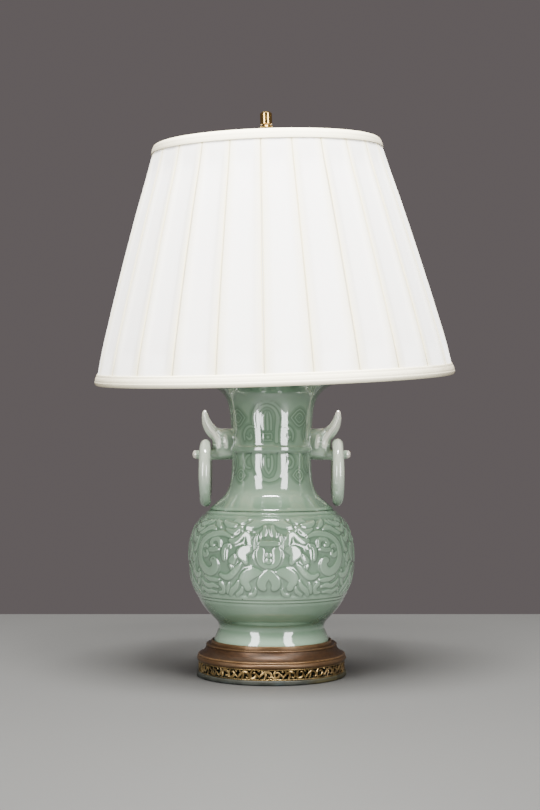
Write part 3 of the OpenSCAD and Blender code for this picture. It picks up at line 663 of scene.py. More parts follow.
sideScroll = [
    [(60.6, 146.4, 2.2), (68, 145.4, 2.4), (75, 144.8, 1.6)],
    [(58, 149.6, 2.0), (59.6, 154.6, 2.2), (64, 157.2, 2.3), (69.4, 155.6, 2.4), (71.2, 151.4, 2.2),
     (67.6, 149.6, 1.6)],
    [(85, 141.4, 2.0), (80.6, 138.6, 2.2), (76.4, 139.8, 2.0), (77, 143.4, 1.5)],
    [(84.4, 148, 1.8), (79.6, 149.4, 1.6), (76, 148, 1.3)],
    [(43.6, 158.6, 1.0), (50, 161.6, 1.8), (58, 162.8, 2.4), (67, 162.2, 2.7), (76, 159.8, 2.9),
     (84, 154.8, 3.3), (88.8, 147, 3.8), (89.6, 138, 4.1), (87, 130, 4.3), (81, 123.6, 4.4),
     (73.4, 120.8, 4.3), (66.4, 123.4, 4.6), (63.6, 129, 4.6), (66, 133.6, 3.6), (69.4, 133.6, 2.0)],
    [(46.6, 150.4, 1.8), (51, 148.6, 2.4), (52.4, 142, 2.5), (51.4, 135.4, 1.8)],
    [(63.4, 169.6, 1.4), (68, 172.4, 2.4), (73, 176, 1.5)],
    [(70.4, 167.2, 1.5), (77, 168.6, 2.4), (84, 167.2, 2.5), (90, 164, 2.3), (96, 162.8, 2.2),
     (101, 165.8, 2.0), (103, 170.4, 1.5)],
    [(79.6, 175.4, 1.4), (86, 173.8, 2.2), (93, 172.4, 2.3), (98, 174, 1.4)],
    [(97.6, 157.6, 1.5), (98.6, 151, 2.5), (101.4, 145, 2.4), (107, 143, 1.5)],
    [(98.6, 138, 1.5), (103.4, 133, 2.7), (104.4, 126, 2.6), (101.6, 120.4, 1.6)],
    [(93.2, 121.6, 1.5), (94.8, 114, 2.6), (97.6, 107.4, 2.2), (102.4, 104.4, 1.2)],
    [(60, 112.2, 1.4), (67, 112.4, 2.3), (74.4, 113, 2.2), (81.6, 115.6, 1.4)],
    [(57.6, 108.2, 2.8), (54.4, 103.8, 2.2), (56.4, 99.2, 2.0), (61.6, 98.4, 1.4)],
    [(63.4, 104.8, 1.5), (70, 106.4, 2.4), (77.6, 105, 2.5), (83.6, 107.2, 2.4), (88.6, 111.8, 1.4)],
    [(67.4, 98.8, 1.3), (74.6, 99.2, 2.1), (82, 98.4, 2.2), (90.4, 101.4, 2.0), (93.6, 98.2, 1.2)],
    [(47, 108.4, 1.3), (48.6, 104, 2.0), (50, 99, 1.5)],
]
neckPanel = [
    [(14, 262, 1.7), (14.4, 272, 1.7), (16, 281, 1.9), (16.4, 289, 1.8), (13.4, 297, 1.7),
     (7.4, 303.2, 1.6), (0, 305.6, 1.6)],
    [(9.6, 262, 2.2), (9.8, 272, 2.2), (10.8, 282, 2.1), (11, 290, 1.9), (8.8, 296, 1.6),
     (4.8, 300, 1.5), (0, 301.6, 1.4)],
    [(0, 275, 1.5), (0, 288, 1.5), (0, 295, 0.9)],
    [(3.8, 275, 1.3), (3.8, 288, 1.3), (1.8, 294.6, 0.8)],
    [(15.6, 277.4, 1.1), (20.6, 278.6, 1.5), (26, 276, 1.7), (29.6, 270, 1.7), (28.8, 263.6, 1.2)],
    [(26, 267, 1.2), (22.8, 264.4, 1.6), (19.4, 266.2, 1.5), (20.2, 270, 1.0)],
    [(26.8, 288, 1.0), (37.6, 297.4, 1.0), (48.4, 288, 1.0), (37.6, 278.6, 1.0), (26.8, 288, 1.0)],
    [(31.6, 288, 0.9), (37.6, 293.2, 0.9), (43.6, 288, 0.9), (37.6, 282.8, 0.9), (31.6, 288, 0.9)],
    [(37.6, 288, 1.1), (37.61, 288, 1.1)],
    [(47.6, 281.4, 1.0), (44.8, 275, 1.0), (45, 268.4, 1.0), (48.6, 262.6, 1.0)],
    [(52, 279, 1.0), (49.6, 274, 1.0), (50, 268, 1.0), (53, 263.6, 1.0)],
    [(4.2, 263.2, 0.8), (4.2, 270.2, 0.8), (0, 270.2, 0.8)],
    [(4.2, 263.2, 0.8), (0, 263.2, 0.8)],
    [(0, 266.7, 1.9), (0.01, 266.7, 1.9)],
    [(15.2, 246.6, 5.0), (15, 240, 5.2), (13, 231.4, 3.9), (10.4, 225.6, 3.3), (6.4, 221, 2.3),
     (0, 219, 1.9)],
    [(3.6, 246, 1.2), (4.2, 240, 1.6), (3.4, 232, 1.4), (0, 226.4, 1.1)],
    [(0, 242, 1.8), (0, 234, 1.2)],
    [(22.4, 247.4, 1.2), (26.6, 245, 1.6), (29.6, 239.6, 1.6), (27, 233.8, 1.6), (22, 232.6, 1.1)],
    [(28, 224.4, 1.0), (35.6, 231.2, 1.0), (43.2, 224.4, 1.0), (35.6, 217.8, 1.0), (28, 224.4, 1.0)],
    [(32, 224.4, 0.9), (35.6, 227.8, 0.9), (39.2, 224.4, 0.9), (35.6, 221.2, 0.9), (32, 224.4, 0.9)],
    [(45, 246, 1.0), (42.8, 239.6, 1.0), (43.6, 232.4, 1.0), (48, 226.4, 1.0)],
    [(50, 245, 1.0), (48.2, 239.6, 1.0), (49, 233.6, 1.0), (53, 228.6, 1.0)],
]


def strokeReach(u, v, stroke):
    reach = np.full(u.shape, 99.0)
    path = smoothCurve(stroke, 3)
    for a, b in zip(path, path[1:]):
        run = b[:2] - a[:2]
        along = np.clip(((u - a[0]) * run[0] + (v - a[1]) * run[1]) / max(run @ run, 1e-9), 0, 1)
        gap = np.hypot(u - a[0] - along * run[0], v - a[1] - along * run[1]) - a[2] - along * (b[2] - a[2])
        reach = np.minimum(reach, gap)
    return reach


def carve(height, near, u, v, strokes, kind):
    parts = ("Ground", "Crown", "Edge", "Moat", "Grow")
    ground, crown, edge, moat, grow = (pot[kind + part] for part in parts)
    for stroke in strokes:
        spots = np.array(stroke)
        reachable = np.flatnonzero(
            (u > spots[:, 0].min() - 8) & (u < spots[:, 0].max() + 8)
            & (v > spots[:, 1].min() - 8) & (v < spots[:, 1].max() + 8))
        reach = strokeReach(u[reachable], v[reachable], stroke) - grow
        here = height[reachable]
        beside = -ground + (here + ground) * ease(0, moat, reach)
        dome = ground + crown * (1 - np.exp(np.minimum(reach, 0) / 1.5))
        raised = -ground + dome * ease(edge, -edge, reach)
        height[reachable] = np.maximum(np.where(reach < moat, beside, here), raised)
        near[reachable] = np.minimum(near[reachable], np.abs(reach))


def fromMiddle(turn, radius, shift):
    half = math.pi / 2 * radius
    aside = np.abs((turn * radius + shift + 2 * half) % (4 * half) - 2 * half)
    return np.where(aside > half, 2 * half - aside, aside)    # from the front's or the back's middle


def beltRelief(turn, z):
    low, high = pot["belt"]
    fromFace = fromMiddle(turn, pot["beltRadius"], pot["beltShift"])
    fromMask = np.minimum(fromFace, math.pi / 2 * pot["beltRadius"] - fromFace)    # masks on the sides too
    ground = np.full(len(z), -pot["beltGround"])
    near = np.full(len(z), 99.0)
    carve(ground, near, fromFace, z, sideScroll, "belt")
    carve(ground, near, fromMask, z, beastMask, "belt")
    ground -= 0.35 * ease(0.8, 3, near) * (ground < -0.9 * pot["beltGround"])
    window = ease(low + 0.3, low + 2.6, z) * ease(high - 0.3, high - 2.2, z)
    # the glaze is darker on the ground, darkest beside a stroke and thin on the stroke's rim
    sunk = np.clip(-ground / pot["beltGround"], 0, 1)
    rim = np.exp(-(near / 0.9) ** 2)
    poolAndShade = 0.10 * sunk + 0.38 * sunk * np.exp(-near ** 2) - (0.06 + 0.12 * rim) * (1 - sunk)
    return ground * window, poolAndShade * window


def neckRelief(turn, z):
    low, high = pot["collar"]
    shift = pot["neckShift"] + pot["neckSlant"] * (z - pot["neckLevel"])
    ground = np.full(len(z), -pot["neckGround"])
    near = np.full(len(z), 99.0)
    carve(ground, near, fromMiddle(turn, pot["neckRadius"], shift), z, neckPanel, "neck")
    ground *= 1 - ease(1.8, 4.5, near)
    window = ease(low + 2, low + 9, z) * ease(high + 5, high - 1, z)
    window *= 1 - ease(4.2, 3.0, np.abs(z - pot["ridge"]))    # the ridge stays plain
    sunk = np.clip(-ground / pot["neckGround"], 0, 1)
    poolAndShade = 0.10 * sunk + 0.36 * sunk * np.exp(-(near / 0.8) ** 2) - 0.05 * (1 - sunk)
    return ground * window, poolAndShade * window


def potRelief(where):
    x, y, z = where.T
    turn = np.arctan2(x, -y)
    height = np.zeros(len(z))
    poolAndShade = np.full(len(z), pot["usualPool"])
    for relief, (low, high), over in ((beltRelief, pot["belt"], 0), (neckRelief, pot["collar"], 6)):
        carved = np.flatnonzero((z > low) & (z < high + over))
        height[carved], gathered = relief(turn[carved], z[carved])
        poolAndShade[carved] += gathered
    for groove in pot["grooves"]:
        line = np.exp(-((z - groove) / pot["grooveWidth"]) ** 2)
        height -= pot["grooveDepth"] * line
        poolAndShade += 0.16 * line - 0.16 * np.exp(-((z - groove - 2.2) / 0.9) ** 2)
    # bands of glaze tone, with painted shade under the belly and a painted highlight low on the neck
    for middle, fade, share in pot["poolsAndShade"]:
        poolAndShade += share * np.exp(-((z - middle) / fade) ** 2)
    # painted shadow of the lampshade over the neck's flare
    low, high, share = pot["neckTopShadow"]
    return height, np.clip(poolAndShade + share * ease(low, high, z), 0, 1)


def potSection(name, node, low, high, steps, fine, rows, inside):
    rise = [low]
    while rise[-1] < high - 0.01:
        pace = rows["plain"]
        if fine[0] <= rise[-1] < fine[1]:
            pace = rows["fine"]
        elif any(abs(rise[-1] - groove) < 3.2 for groove in pot["grooves"]):
            pace = rows["groove"]
        rise.append(min(rise[-1] + pace, high))
    bm = spun([(potRadius(z), z) for z in rise] + inside, steps)
    onWall = {v for v in bm.verts
              if v.co.xy.length / mm > potRadius(v.co.z / mm) - pot["wall"] / 2
              and fine[0] <= v.co.z / mm <= fine[1]}
    edges = [e for e in bm.edges if e.verts[0] in onWall and e.verts[1] in onWall]
    bmesh.ops.subdivide_edges(bm, edges=edges, cuts=1, use_grid_fill=True)
    made = piece(bm, name, glaze, "root", [node], crease=60)

    def relief(where):
        size = np.hypot(where[:, 0], where[:, 1])
        radius = potRadius(where[:, 2])
        wall = (size > radius - pot["wall"] / 2) & (where[:, 2] > low - 0.1) & (where[:, 2] < high + 0.1)
        height, poolAndShade = potRelief(where[wall])
        slope = potRadius(where[wall, 2] + 0.5) - potRadius(where[wall, 2] - 0.5)
        long = np.hypot(1, slope)
        new = where.copy()
        across = (radius[wall] + height / long) / size[wall]
        new[wall, 0] *= across
        new[wall, 1] *= across
        new[wall, 2] -= height * slope / long
        new[:, 2] = np.clip(new[:, 2], low, high)
        poolsAndShade = np.full(len(where), 0.45)
        poolsAndShade[wall] = poolAndShade
        markPoints(made.data, "poolAndShade", poolsAndShade)
        return new

    moved(made, relief)
    return made


def potInside(low, high):
    return [(r - pot["wall"], z) for r, z in pot["outline"] if low < z < high][::-1]


def makePot():
    luting, floor, foot, hole = pot["luting"], pot["floor"], pot["foot"], pot["footHole"]
    seam = (potRadius(luting) - pot["wall"], luting)
    inside = potInside(floor + 4, luting - 4)
    hollow = [seam] + inside + [(inside[-1][0] - 4, floor), (hole, floor), (hole, foot)]
    body = potSection("potBody", "vase_body", foot, luting, pot["bodySteps"], pot["belt"],
                      {"plain": 1.9, "fine": 1.72, "groove": 0.8}, hollow)
    lip, top = pot["outline"][-1]
    hollow = [(lip - 1.5, top), (lip - pot["wall"], top)] + potInside(luting + 4, top - 4) + [seam]
    neck = potSection("potNeck", "vase_neck", luting, top, pot["neckSteps"], pot["collar"],
                      {"plain": 1.6, "fine": 1.15, "groove": 0.8}, hollow)
    return body, neck


potBody, potNeck = makePot()
print("pot", len(potBody.data.vertices), len(potNeck.data.vertices))


# Handles: a beast's head on the neck, with a horn above and a snout that passes through the ring

beast = {
    "hull": [(46, 265, 10.6), (46, 252, 11), (58, 264.2, 9), (58.5, 250.6, 9)],
    "horn": [(42, 266, 10.5), (53, 266.6, 10), (62.5, 269.8, 8), (69, 275.4, 6.7), (73.2, 283, 5.4),
             (75, 290.4, 3.9), (75.4, 295, 2.6), (75.4, 297, 1.3)],
    "snout": [(50, 251.5, 9.5), (60, 249, 8.6), (67, 247, 6.2), (74, 246.6, 5.1), (80, 246.6, 4.9),
              (85, 247.2, 5.0), (88, 248, 3.6), (89, 248.2, 1.8)],
    "brow": [(75.4, 291, 1.2), (73, 284, 1.9), (69, 276.8, 2.2), (64, 270.4, 2.4), (60.4, 263, 2.2),
             (59.6, 256.6, 1.5)],
    "browFace": 8.1,
    "jaw": [(47, 247.2, 6.4), (54, 245.8, 5.0), (60.4, 244.6, 3.8), (64.6, 244.6, 2.4)],
    "ear": [(54, 268.8, 2.6), (57.6, 271.2, 2.4), (60.6, 274.6, 1.5)], "earFace": 8.1,
    "squares": [(55.2, 266.3), (55.2, 261.4), (55.2, 257.1)],
    "squareSize": 3.6, "squareFace": 10.5,
    "eye": (63.4, 257.6, 2.5), "eyeFace": 6.6,
    "nostril": (84.2, 250.6, 1.3), "nostrilFace": 3.0,
    "fold": [(50.6, 255.6, 0.9), (51.4, 261, 1.5), (52.4, 267.6, 0.9)], "foldFace": 10.6,
    "crestShare": 0.34, "crestReach": 2.45,      # ridges along the horn, as shares of its thickness
    "buried": 3.5,                               # how deep the head goes into the neck's wall
    "voxel": 0.62,
}


def ball(x, y, z, radius):
    bm = bmesh.new()
    bmesh.ops.create_icosphere(bm, subdivisions=3, radius=radius * mm, matrix=at(x, y, z))
    return bm


def swept(stations, face=0):
    curve = smoothCurve(stations, 6)
    return rod([(p[0], face, p[1]) for p in curve], [p[2] for p in curve], 24)


def softCube(x, y, z, sizes, edge):
    bm = bmesh.new()
    bmesh.ops.create_cube(bm, size=mm, matrix=at(x, y, z) @ Matrix.Diagonal((*sizes, 1)))
    bmesh.ops.bevel(bm, geom=bm.edges, offset=edge * mm, segments=2, profile=0.5, affect="EDGES",
                    material=-1)
    return bm


def hulled(corners):
    bm = joined([ball(x, 0, z, radius) for x, z, radius in corners])
    made = bmesh.ops.convex_hull(bm, input=bm.verts)
    loose = {v for v in made["geom_interior"] + made["geom_unused"] if isinstance(v, bmesh.types.BMVert)}
    bmesh.ops.delete(bm, geom=list(loose), context="VERTS")
    return bm


def beastFace(face):
    parts = [swept(beast[line], face * beast[line + "Face"]) for line in ("brow", "ear", "fold")]
    reach = face * beast["crestReach"]
    crest = [(x, z, r * beast["crestShare"]) for x, z, r in beast["horn"][2:-1]]
    for inner, outer in zip(crest, crest[1:]):
        spots = [(x, reach * r, z) for x, z, r in (inner, outer)]
        parts.append(rod(spots, [inner[2], outer[2]]))
    size = beast["squareSize"]
    for x, z in beast["squares"]:
        parts.append(softCube(x, face * beast["squareFace"], z, (size, size, size), 0.25 * size))
    for spot in ("eye", "nostril"):
        x, z, radius = beast[spot]
        parts.append(ball(x, face * beast[spot + "Face"], z, radius))
    return parts


def glazeHandle(made, side):
    x, y, z = readPoints(made).T
    x = np.abs(x)
    # thin on the horn, darker where the head meets the neck, partly gathered glaze and partly painted
    # shade, and darker under the jaw as painted shade; the ridges are pale with a dark line beside
    poolAndShade = 0.46 - 0.36 * ease(264, 282, z) + 0.3 * ease(56, 44, x) + 0.12 * ease(250, 240, z)
    for line in ("brow", "fold"):
        reach = np.maximum(strokeReach(x, z, beast[line]), 0)
        gathered = 0.16 * np.exp(-((reach - 2.4) / 1.1) ** 2) - 0.4 * np.exp(-(reach / 1.1) ** 2)
        poolAndShade += ease(4, 7, np.abs(y)) * gathered
    markPoints(made.data, "poolAndShade", np.clip(poolAndShade, 0, 1))
    # the horn tips and the snout's nub are mixed towards the bare body colour; the right horn's tip much
    # more than the left's, as a painted highlight
    tip = ease(288, 297, z) * (0.75 if side > 0 else 0.2)
    markPoints(made.data, "bare", np.maximum(tip, 0.75 * ease(83.5, 87, x)))


def makeHandle(name, node, side):
    parts = [hulled(beast["hull"])] + [swept(beast[line]) for line in ("horn", "snout", "jaw")]
    bm = joined(parts + beastFace(-1) + beastFace(1))
    if side < 0:
        bmesh.ops.scale(bm, vec=(-1, 1, 1), verts=bm.verts)
        bmesh.ops.reverse_faces(bm, faces=bm.faces)
    made = piece(bm, name, handleGlaze, "root", [node], crease=180)
    voxels = made.modifiers.new("voxels", "REMESH")
    voxels.mode = "VOXEL"
    voxels.voxel_size = beast["voxel"] * mm
    voxels.use_smooth_shade = True
    soft = made.modifiers.new("soft", "SMOOTH")
    soft.iterations = 3
    settled(made)
    trimToNeck(made)
    glazeHandle(made, side)


def trimToNeck(made):
    bm = bmesh.new()
    bm.from_mesh(made.data)
    for vertex in bm.verts:
        x, y, z = (c / mm for c in vertex.co)
        limit = potRadius(z) - beast["buried"]
        size = math.hypot(x, y)
        if size < limit:
            reach = limit / max(size, 1)
            vertex.co.x = x * reach * mm
            vertex.co.y = y * reach * mm
    bm.to_mesh(made.data)
    bm.free()


makeHandle("beastLeft", "handle_left", -1)
makeHandle("beastRight", "handle_right", 1)

hoop = {"x": 74.3, "centre": 226.7, "radius": 31.9, "bar": 6.4, "steps": 176, "sides": 44, "waver": 0.25}


def makeRing(name, node, side):
    x, centre, radius, bar = side * hoop["x"], hoop["centre"], hoop["radius"], hoop["bar"]
    turns = np.linspace(0, 2 * math.pi, hoop["sides"], endpoint=False)
    outline = [(radius + bar * math.cos(t), bar * math.sin(t)) for t in turns]
    ring = spun(outline, hoop["steps"], at(x, 0, centre) @ Matrix.Rotation(math.pi / 2, 4, "Y"))
    made = piece(ring, name, handleGlaze, node, [node], crease=180)
    height = readPoints(made)[:, 2]

    def handThrown(where):
        y, z = where[:, 1], where[:, 2] - centre
        turn = np.arctan2(y, z)
        swell = 1 + hoop["waver"] * (np.sin(3 * turn + side) + 0.6 * np.sin(5 * turn + 2 * side)) / bar
        size = np.hypot(y, z)
        reach = ((size - radius) * swell + radius) / size
        return np.column_stack([x + (where[:, 0] - x) * swell, y * reach, z * reach + centre])

    moved(made, handThrown)
    low = centre - radius
    # darker towards the ring's lower end
    markPoints(made.data, "poolAndShade", 0.22 + 0.34 * ease(low + 40, low - 4, height))


makeRing("hoopLeft", "ring_left", -1)
makeRing("hoopRight", "ring_right", 1)
print("handles and rings")


# Base: felt, rolled rim, pierced gallery and spun shell

base = {
    "steps": 240, "rimWaver": (0.45, 12), "shellWaver": (0.12, 5),
    "felt": 80.4, "feltThick": 1.6,
    "coveX": 86.56, "coveZ": 37.45, "coveRadius": 14.1, "sheet": 1.2,
    "gallery": 82, "wall": 1.6, "low": 5.4, "high": 17.4, "mid": 11.4,
    "repeats": 20, "slim": 0.84, "gap": 8,       # no scrolls within the gap, where the cord comes out
    "plate": 8.6, "plateHole": 4.75, "plateThick": 1.4, "plateHeight": 0.69,
    "rails": [(5.4, 6.7), (16.1, 17.4)],
    "rods": [
        [(-12.9, -3.4, 1.1), (-9, 1.5, 1.5), (-4.5, 3.4, 1.6), (-0.5, 1.8, 1.5), (0.6, -1.6, 1.3),
         (-1.6, -3.0, 1.2), (-3.4, -1.6, 0.9)],
        [(0.6, -1.6, 1.1), (3.6, -3.8, 1.4), (7.5, -3.0, 1.6), (9.4, 0.2, 1.4), (7.6, 2.6, 1.2),
         (5.4, 1.6, 0.9)],
        [(9.4, 0.2, 1.1), (11.2, -1.6, 1.2), (12.9, -3.4, 1.1)],
        [(-9, 1.5, 1.2), (-10.4, 4.6, 1.2)],
        [(-6.5, 2.8, 1.0), (-6.2, -1.2, 1.5), (-8.0, -4.8, 1.1)],
        [(3.6, -4.0, 1.0), (2.6, 1.2, 1.3), (4.4, 5.0, 1.0)],
        [(11.9, 2.9, 1.5), (11.9, 3.3, 1.5), (11.6, 5.0, 1.0)],
    ],
}


def handWorked(made, depth, count):
    waves = [(chance.integers(3, 40), chance.uniform(0, 6.28), chance.uniform(0.02, 0.16))
             for _ in range(count)]

    def worked(where):
        turn = np.arctan2(where[:, 1], where[:, 0])
        swell = sum(np.sin(n * turn + shift + where[:, 2] * lean) for n, shift, lean in waves) / count
        size = np.maximum(np.hypot(where[:, 0], where[:, 1]), 1e-6)
        reach = (size + depth * swell) / size
        new = where.copy()
        new[:, 0] *= reach
        new[:, 1] *= reach
        return new

    moved(made, worked)


def makeFelt():
    thick = base["feltThick"]
    disc = rounded([(0, 0), (base["felt"], 0), (base["felt"], thick), (0, thick)], 0.5)
    pad = spun([(0.0, 0.0)] + [p for p in disc if p[0] > 1] + [(0.0, thick)], 160)
    piece(pad, "feltDisc", plastic["felt"], "root", ["felt_pad"])


def makeRim():
    rim = rounded([(70.4, 1.6, 0), (80.6, 1.6, 0), (80.6, 0.6, 0), (83.6, 0.6, 0), (84, 1.4, 0.35),
                   (84, 4.6, 0.7), (83.2, 5.4, 0.5), (79, 5.4, 0), (79, 2.8, 0), (70.4, 2.8, 0)], 0.5)
    made = piece(spun(rim, base["steps"]), "rolledRim", rimPatina, "root", ["base_rim"])
    handWorked(made, *base["rimWaver"])


def makeShell():
    x, z, radius = base["coveX"], base["coveZ"], base["coveRadius"]
    shell = [(81.8, 17.4, 0.2)] + worn(arc(80.7, 20.1, 3.1, -58, 62, 12), 0.15)
    shell += [(82.2, 22.8, 0), (82.3, 23.1, 0)] + worn(arc(81.6, 23.9, 0.95, -30, 100, 8), 0.45)
    shell += worn(arc(x, z, radius, -117, -164.5, 14), 0)
    shell += worn(arc(72.2, 34.9, 1.1, -84, 90, 8), 0.2)
    shell += [(68.4, 35, 0.1), (67.5, 35.6, 0.1)] + worn(arc(66.5, 39.1, 0.9, 0, 180, 8), 0.3)
    shell += [(65.4, 36, 0), (5.4, 36, 0), (5.4, 34.8, 0), (66.2, 34.8, 0), (71, 33.2, 0)]
    shell += worn(arc(x, z, radius + base["sheet"], -160, -119, 10), 0)
    shell += worn(arc(80.3, 21.1, 2.5, 100, -70, 10), 0) + [(77.9, 18.6, 0), (77.9, 17.4, 0)]
    made = piece(spun(shell, base["steps"]), "spunShell", metal["patinatedCopper"],
                 "root", ["base_top"])
    handWorked(made, *base["shellWaver"])


def galleryScrolls(middle):
    scrolls = []
    pitch = 2 * math.pi * base["gallery"] / base["repeats"]
    for repeat in range(base["repeats"]):
        for stroke in base["rods"]:
            aside = chance.normal(0, 0.55)
            up = chance.normal(0, 0.35)
            heft = chance.uniform(0.85, 1.3)
            path = smoothCurve([(u + aside, v + up, r) for u, v, r in stroke], 3)
            turns = [(repeat * pitch + p[0]) / base["gallery"] - math.pi / 2 for p in path]
            behind = [abs((turn + math.pi / 2) % (2 * math.pi) - math.pi) for turn in turns]
            if min(behind) * base["gallery"] < base["gap"]:
                continue
            spots = [(middle * math.cos(turn), middle * math.sin(turn), base["mid"] + p[1])
                     for turn, p in zip(turns, path)]
            scrolls.append(rod(spots, [p[2] * base["slim"] * heft for p in path], 8))
    return scrolls


def cordPlate(middle):
    plate = bmesh.new()
    bmesh.ops.create_circle(plate, cap_ends=False, segments=48, radius=base["plate"] * mm)
    holed = bmesh.ops.extrude_edge_only(plate, edges=list(plate.edges))
    hole = [v for v in holed["geom"] if isinstance(v, bmesh.types.BMVert)]
    share = base["plateHole"] / base["plate"]
    bmesh.ops.scale(plate, vec=(share, share, 1), verts=hole)
    bmesh.ops.solidify(plate, geom=plate.faces, thickness=base["plateThick"] * mm)
    bmesh.ops.recalc_face_normals(plate, faces=plate.faces)
    outside = [v for v in plate.verts if v.co.xy.length > 6 * mm]
    bmesh.ops.scale(plate, vec=(1, base["plateHeight"], 1), verts=outside)
    return placed(plate, at(0, middle + 0.55, base["mid"]) @ Matrix.Rotation(-math.pi / 2, 4, "X"))


def makeGallery():
    outer = base["gallery"]
    inner = outer - base["wall"]
    middle = outer - base["wall"] / 2
    rails = []
    for low, high in base["rails"]:
        rail = rounded([(inner, low), (outer, low), (outer, high), (inner, high)], 0.45)
        rails.append(spun(worn(rail, 0.8), base["steps"]))
    band = joined(rails + galleryScrolls(middle) + [cordPlate(middle)])
    made = piece(band, "gallery", metal["giltGallery"], "root", ["gallery_band"])

    def flattened(where):
        size = np.hypot(where[:, 0], where[:, 1])
        want = middle + np.clip((size - middle) * 0.8, -1.15, 0.95)
        behind = (where[:, 1] > 0) & (np.abs(where[:, 0]) < 9)
        want = np.where(behind & (size > middle - 1), size, want)
        new = where.copy()
        new[:, 0] *= want / size
        new[:, 1] *= want / size
        new[:, 2] = np.clip(where[:, 2], base["low"], base["high"])
        return new

    moved(made, flattened)
    x, y, z = readPoints(made).T
    turn = np.arctan2(y, x)
    patchy = 0.62 + 0.38 * np.sin(23 * turn + 2 * np.sin(7 * turn)) * np.cos(0.9 * z + 11 * turn)
    markPoints(made.data, "wear", ease(middle - 0.2, middle + 0.9, np.hypot(x, y)) * patchy)


def makeBushing():
    tube = rounded([(3.25, 75), (4.7, 75), (4.7, 82.2), (5.8, 82.2), (5.8, 84.2), (3.25, 84.2)], 0.4)
    place = at(0, 0, base["mid"]) @ Matrix.Rotation(-math.pi / 2, 4, "X")
    piece(spun(tube, 64, place), "moulding", plastic["bushingPlastic"], "root",
          ["cord_bushing"])


makeFelt()
makeRim()
makeShell()
makeGallery()
makeBushing()
print("base")


# Frames of the leaning parts

lean = {"saddle": 360, "harpFront": 2.4, "harpLeft": 1.2, "shadeFront": 4.4, "shadeLeft": 1.9}


def leaned(front, left):
    return Matrix.Rotation(math.radians(-left), 4, "Y") @ Matrix.Rotation(math.radians(front), 4, "X")


# The harp's wire has a straight foot, a kink outward, a long bow and a rounder crown
harpArc = {
    "footX": 27, "footLow": 16.3, "footTop": 34, "post": 2.4, "wire": 1.6,
    "kink": 20, "bow": 150, "bowX": 57, "crownStart": 25,
    "boss": 5, "bossHole": 2.3, "bossThick": 3.6,
}
bends = harpArc["kink"] + harpArc["bow"]
kinkTurn = math.degrees(math.acos(1 - (harpArc["bowX"] - harpArc["footX"]) / bends))
bowZ = harpArc["footTop"] + bends * math.sin(math.radians(kinkTurn))
startSine = math.sin(math.radians(harpArc["crownStart"]))
startCosine = math.cos(math.radians(harpArc["crownStart"]))
crownR = (harpArc["bowX"] - harpArc["bow"] * (1 - startCosine)) / startCosine
crownZ = bowZ + harpArc["bow"] * startSine + crownR * (1 - startSine)
harpPlace = at(0, 0, lean["saddle"]) @ leaned(lean["harpFront"], lean["harpLeft"])
shadePivot = harpPlace @ Vector((0, 0, (crownZ + harpArc["bossThick"] / 2) * mm))
shadePlace = Matrix.Translation(shadePivot) @ leaned(lean["shadeFront"], lean["shadeLeft"])


def turned(name, outline, material, body, stands, steps=96, place=None):
    return piece(spun(outline, steps, place), name, metal[material], body, stands)


def makeCap():
    cap = [(5.4, 340, 0), (14, 340, 0.4)] + worn(arc(15, 318.4, 21.6, 90, 43, 10), 0.2)
    cap += [(36, 333.4, 0), (54, 332.5, 0), (62, 332.3, 0.4), (64.6, 332.6, 0.9), (65.8, 332.1, 1)]
    cap += [(66, 331.4, 0.6), (65.8, 331, 0), (56, 331, 0), (37, 331.6, 0)]
    cap += worn(arc(15, 318.4, 20.2, 43, 90, 10), 0) + [(5.4, 338.6, 0)]
    turned("capDome", cap, "polishedBrass", "root", ["vase_cap"], 144)


def makeSpacer():
    spacer = [(5.35, 340, 0), (10.6, 340, 0)] + worn(arc(11, 342, 2, -80, 80, 8), 0.8)
    spacer += [(10.2, 344.3, 0), (9.6, 345.4, 0), (8.7, 346.2, 0.5), (8.9, 347.2, 0.8), (8.3, 348.2, 0.3)]
    spacer += [(7.6, 350, 0), (7.4, 356, 0), (7.9, 357.4, 0.6), (8.1, 358.2, 0.8), (7.6, 359.2, 0.5)]
    spacer += [(7.2, 359.5, 0), (5.35, 359.5, 0)]
    turned("turnedSpacer", spacer, "polishedBrass", "root", ["neck_spacer"])


def makeSaddle():
    washer = rounded([(5.65, 0), (11, 0), (11, 1.6), (5.65, 1.6)], 0.35)
    parts = [spun(worn(washer, 0.5), 96)]
    post = [(0.0, 0.0), (5, 0.05), (5, 1.4), (4.7, 1.6), (2.9, 1.7), (harpArc["post"], 2.3),
            (harpArc["post"], 15.2), (1.9, 16), (0.0, 16.0)]
    for side in (-1, 1):
        parts.append(softCube(side * 18.2, 0, 0.8, (18.4, 9.6, 1.5), 0.35))
        parts.append(spun(post, 40, at(side * harpArc["footX"], 0, 0)))
    saddle = placed(joined(parts), harpPlace)
    piece(saddle, "saddlePlate", metal["harpBrass"], "root", ["harp_saddle"])


# Heights above the saddle
socket = {
    "x": 16.4, "wall": 0.5, "domeZ": 17.6, "beads": (35, 37.6, 40.2),
    "knobReach": 20, "knobHeight": 30, "flutes": 12,
}


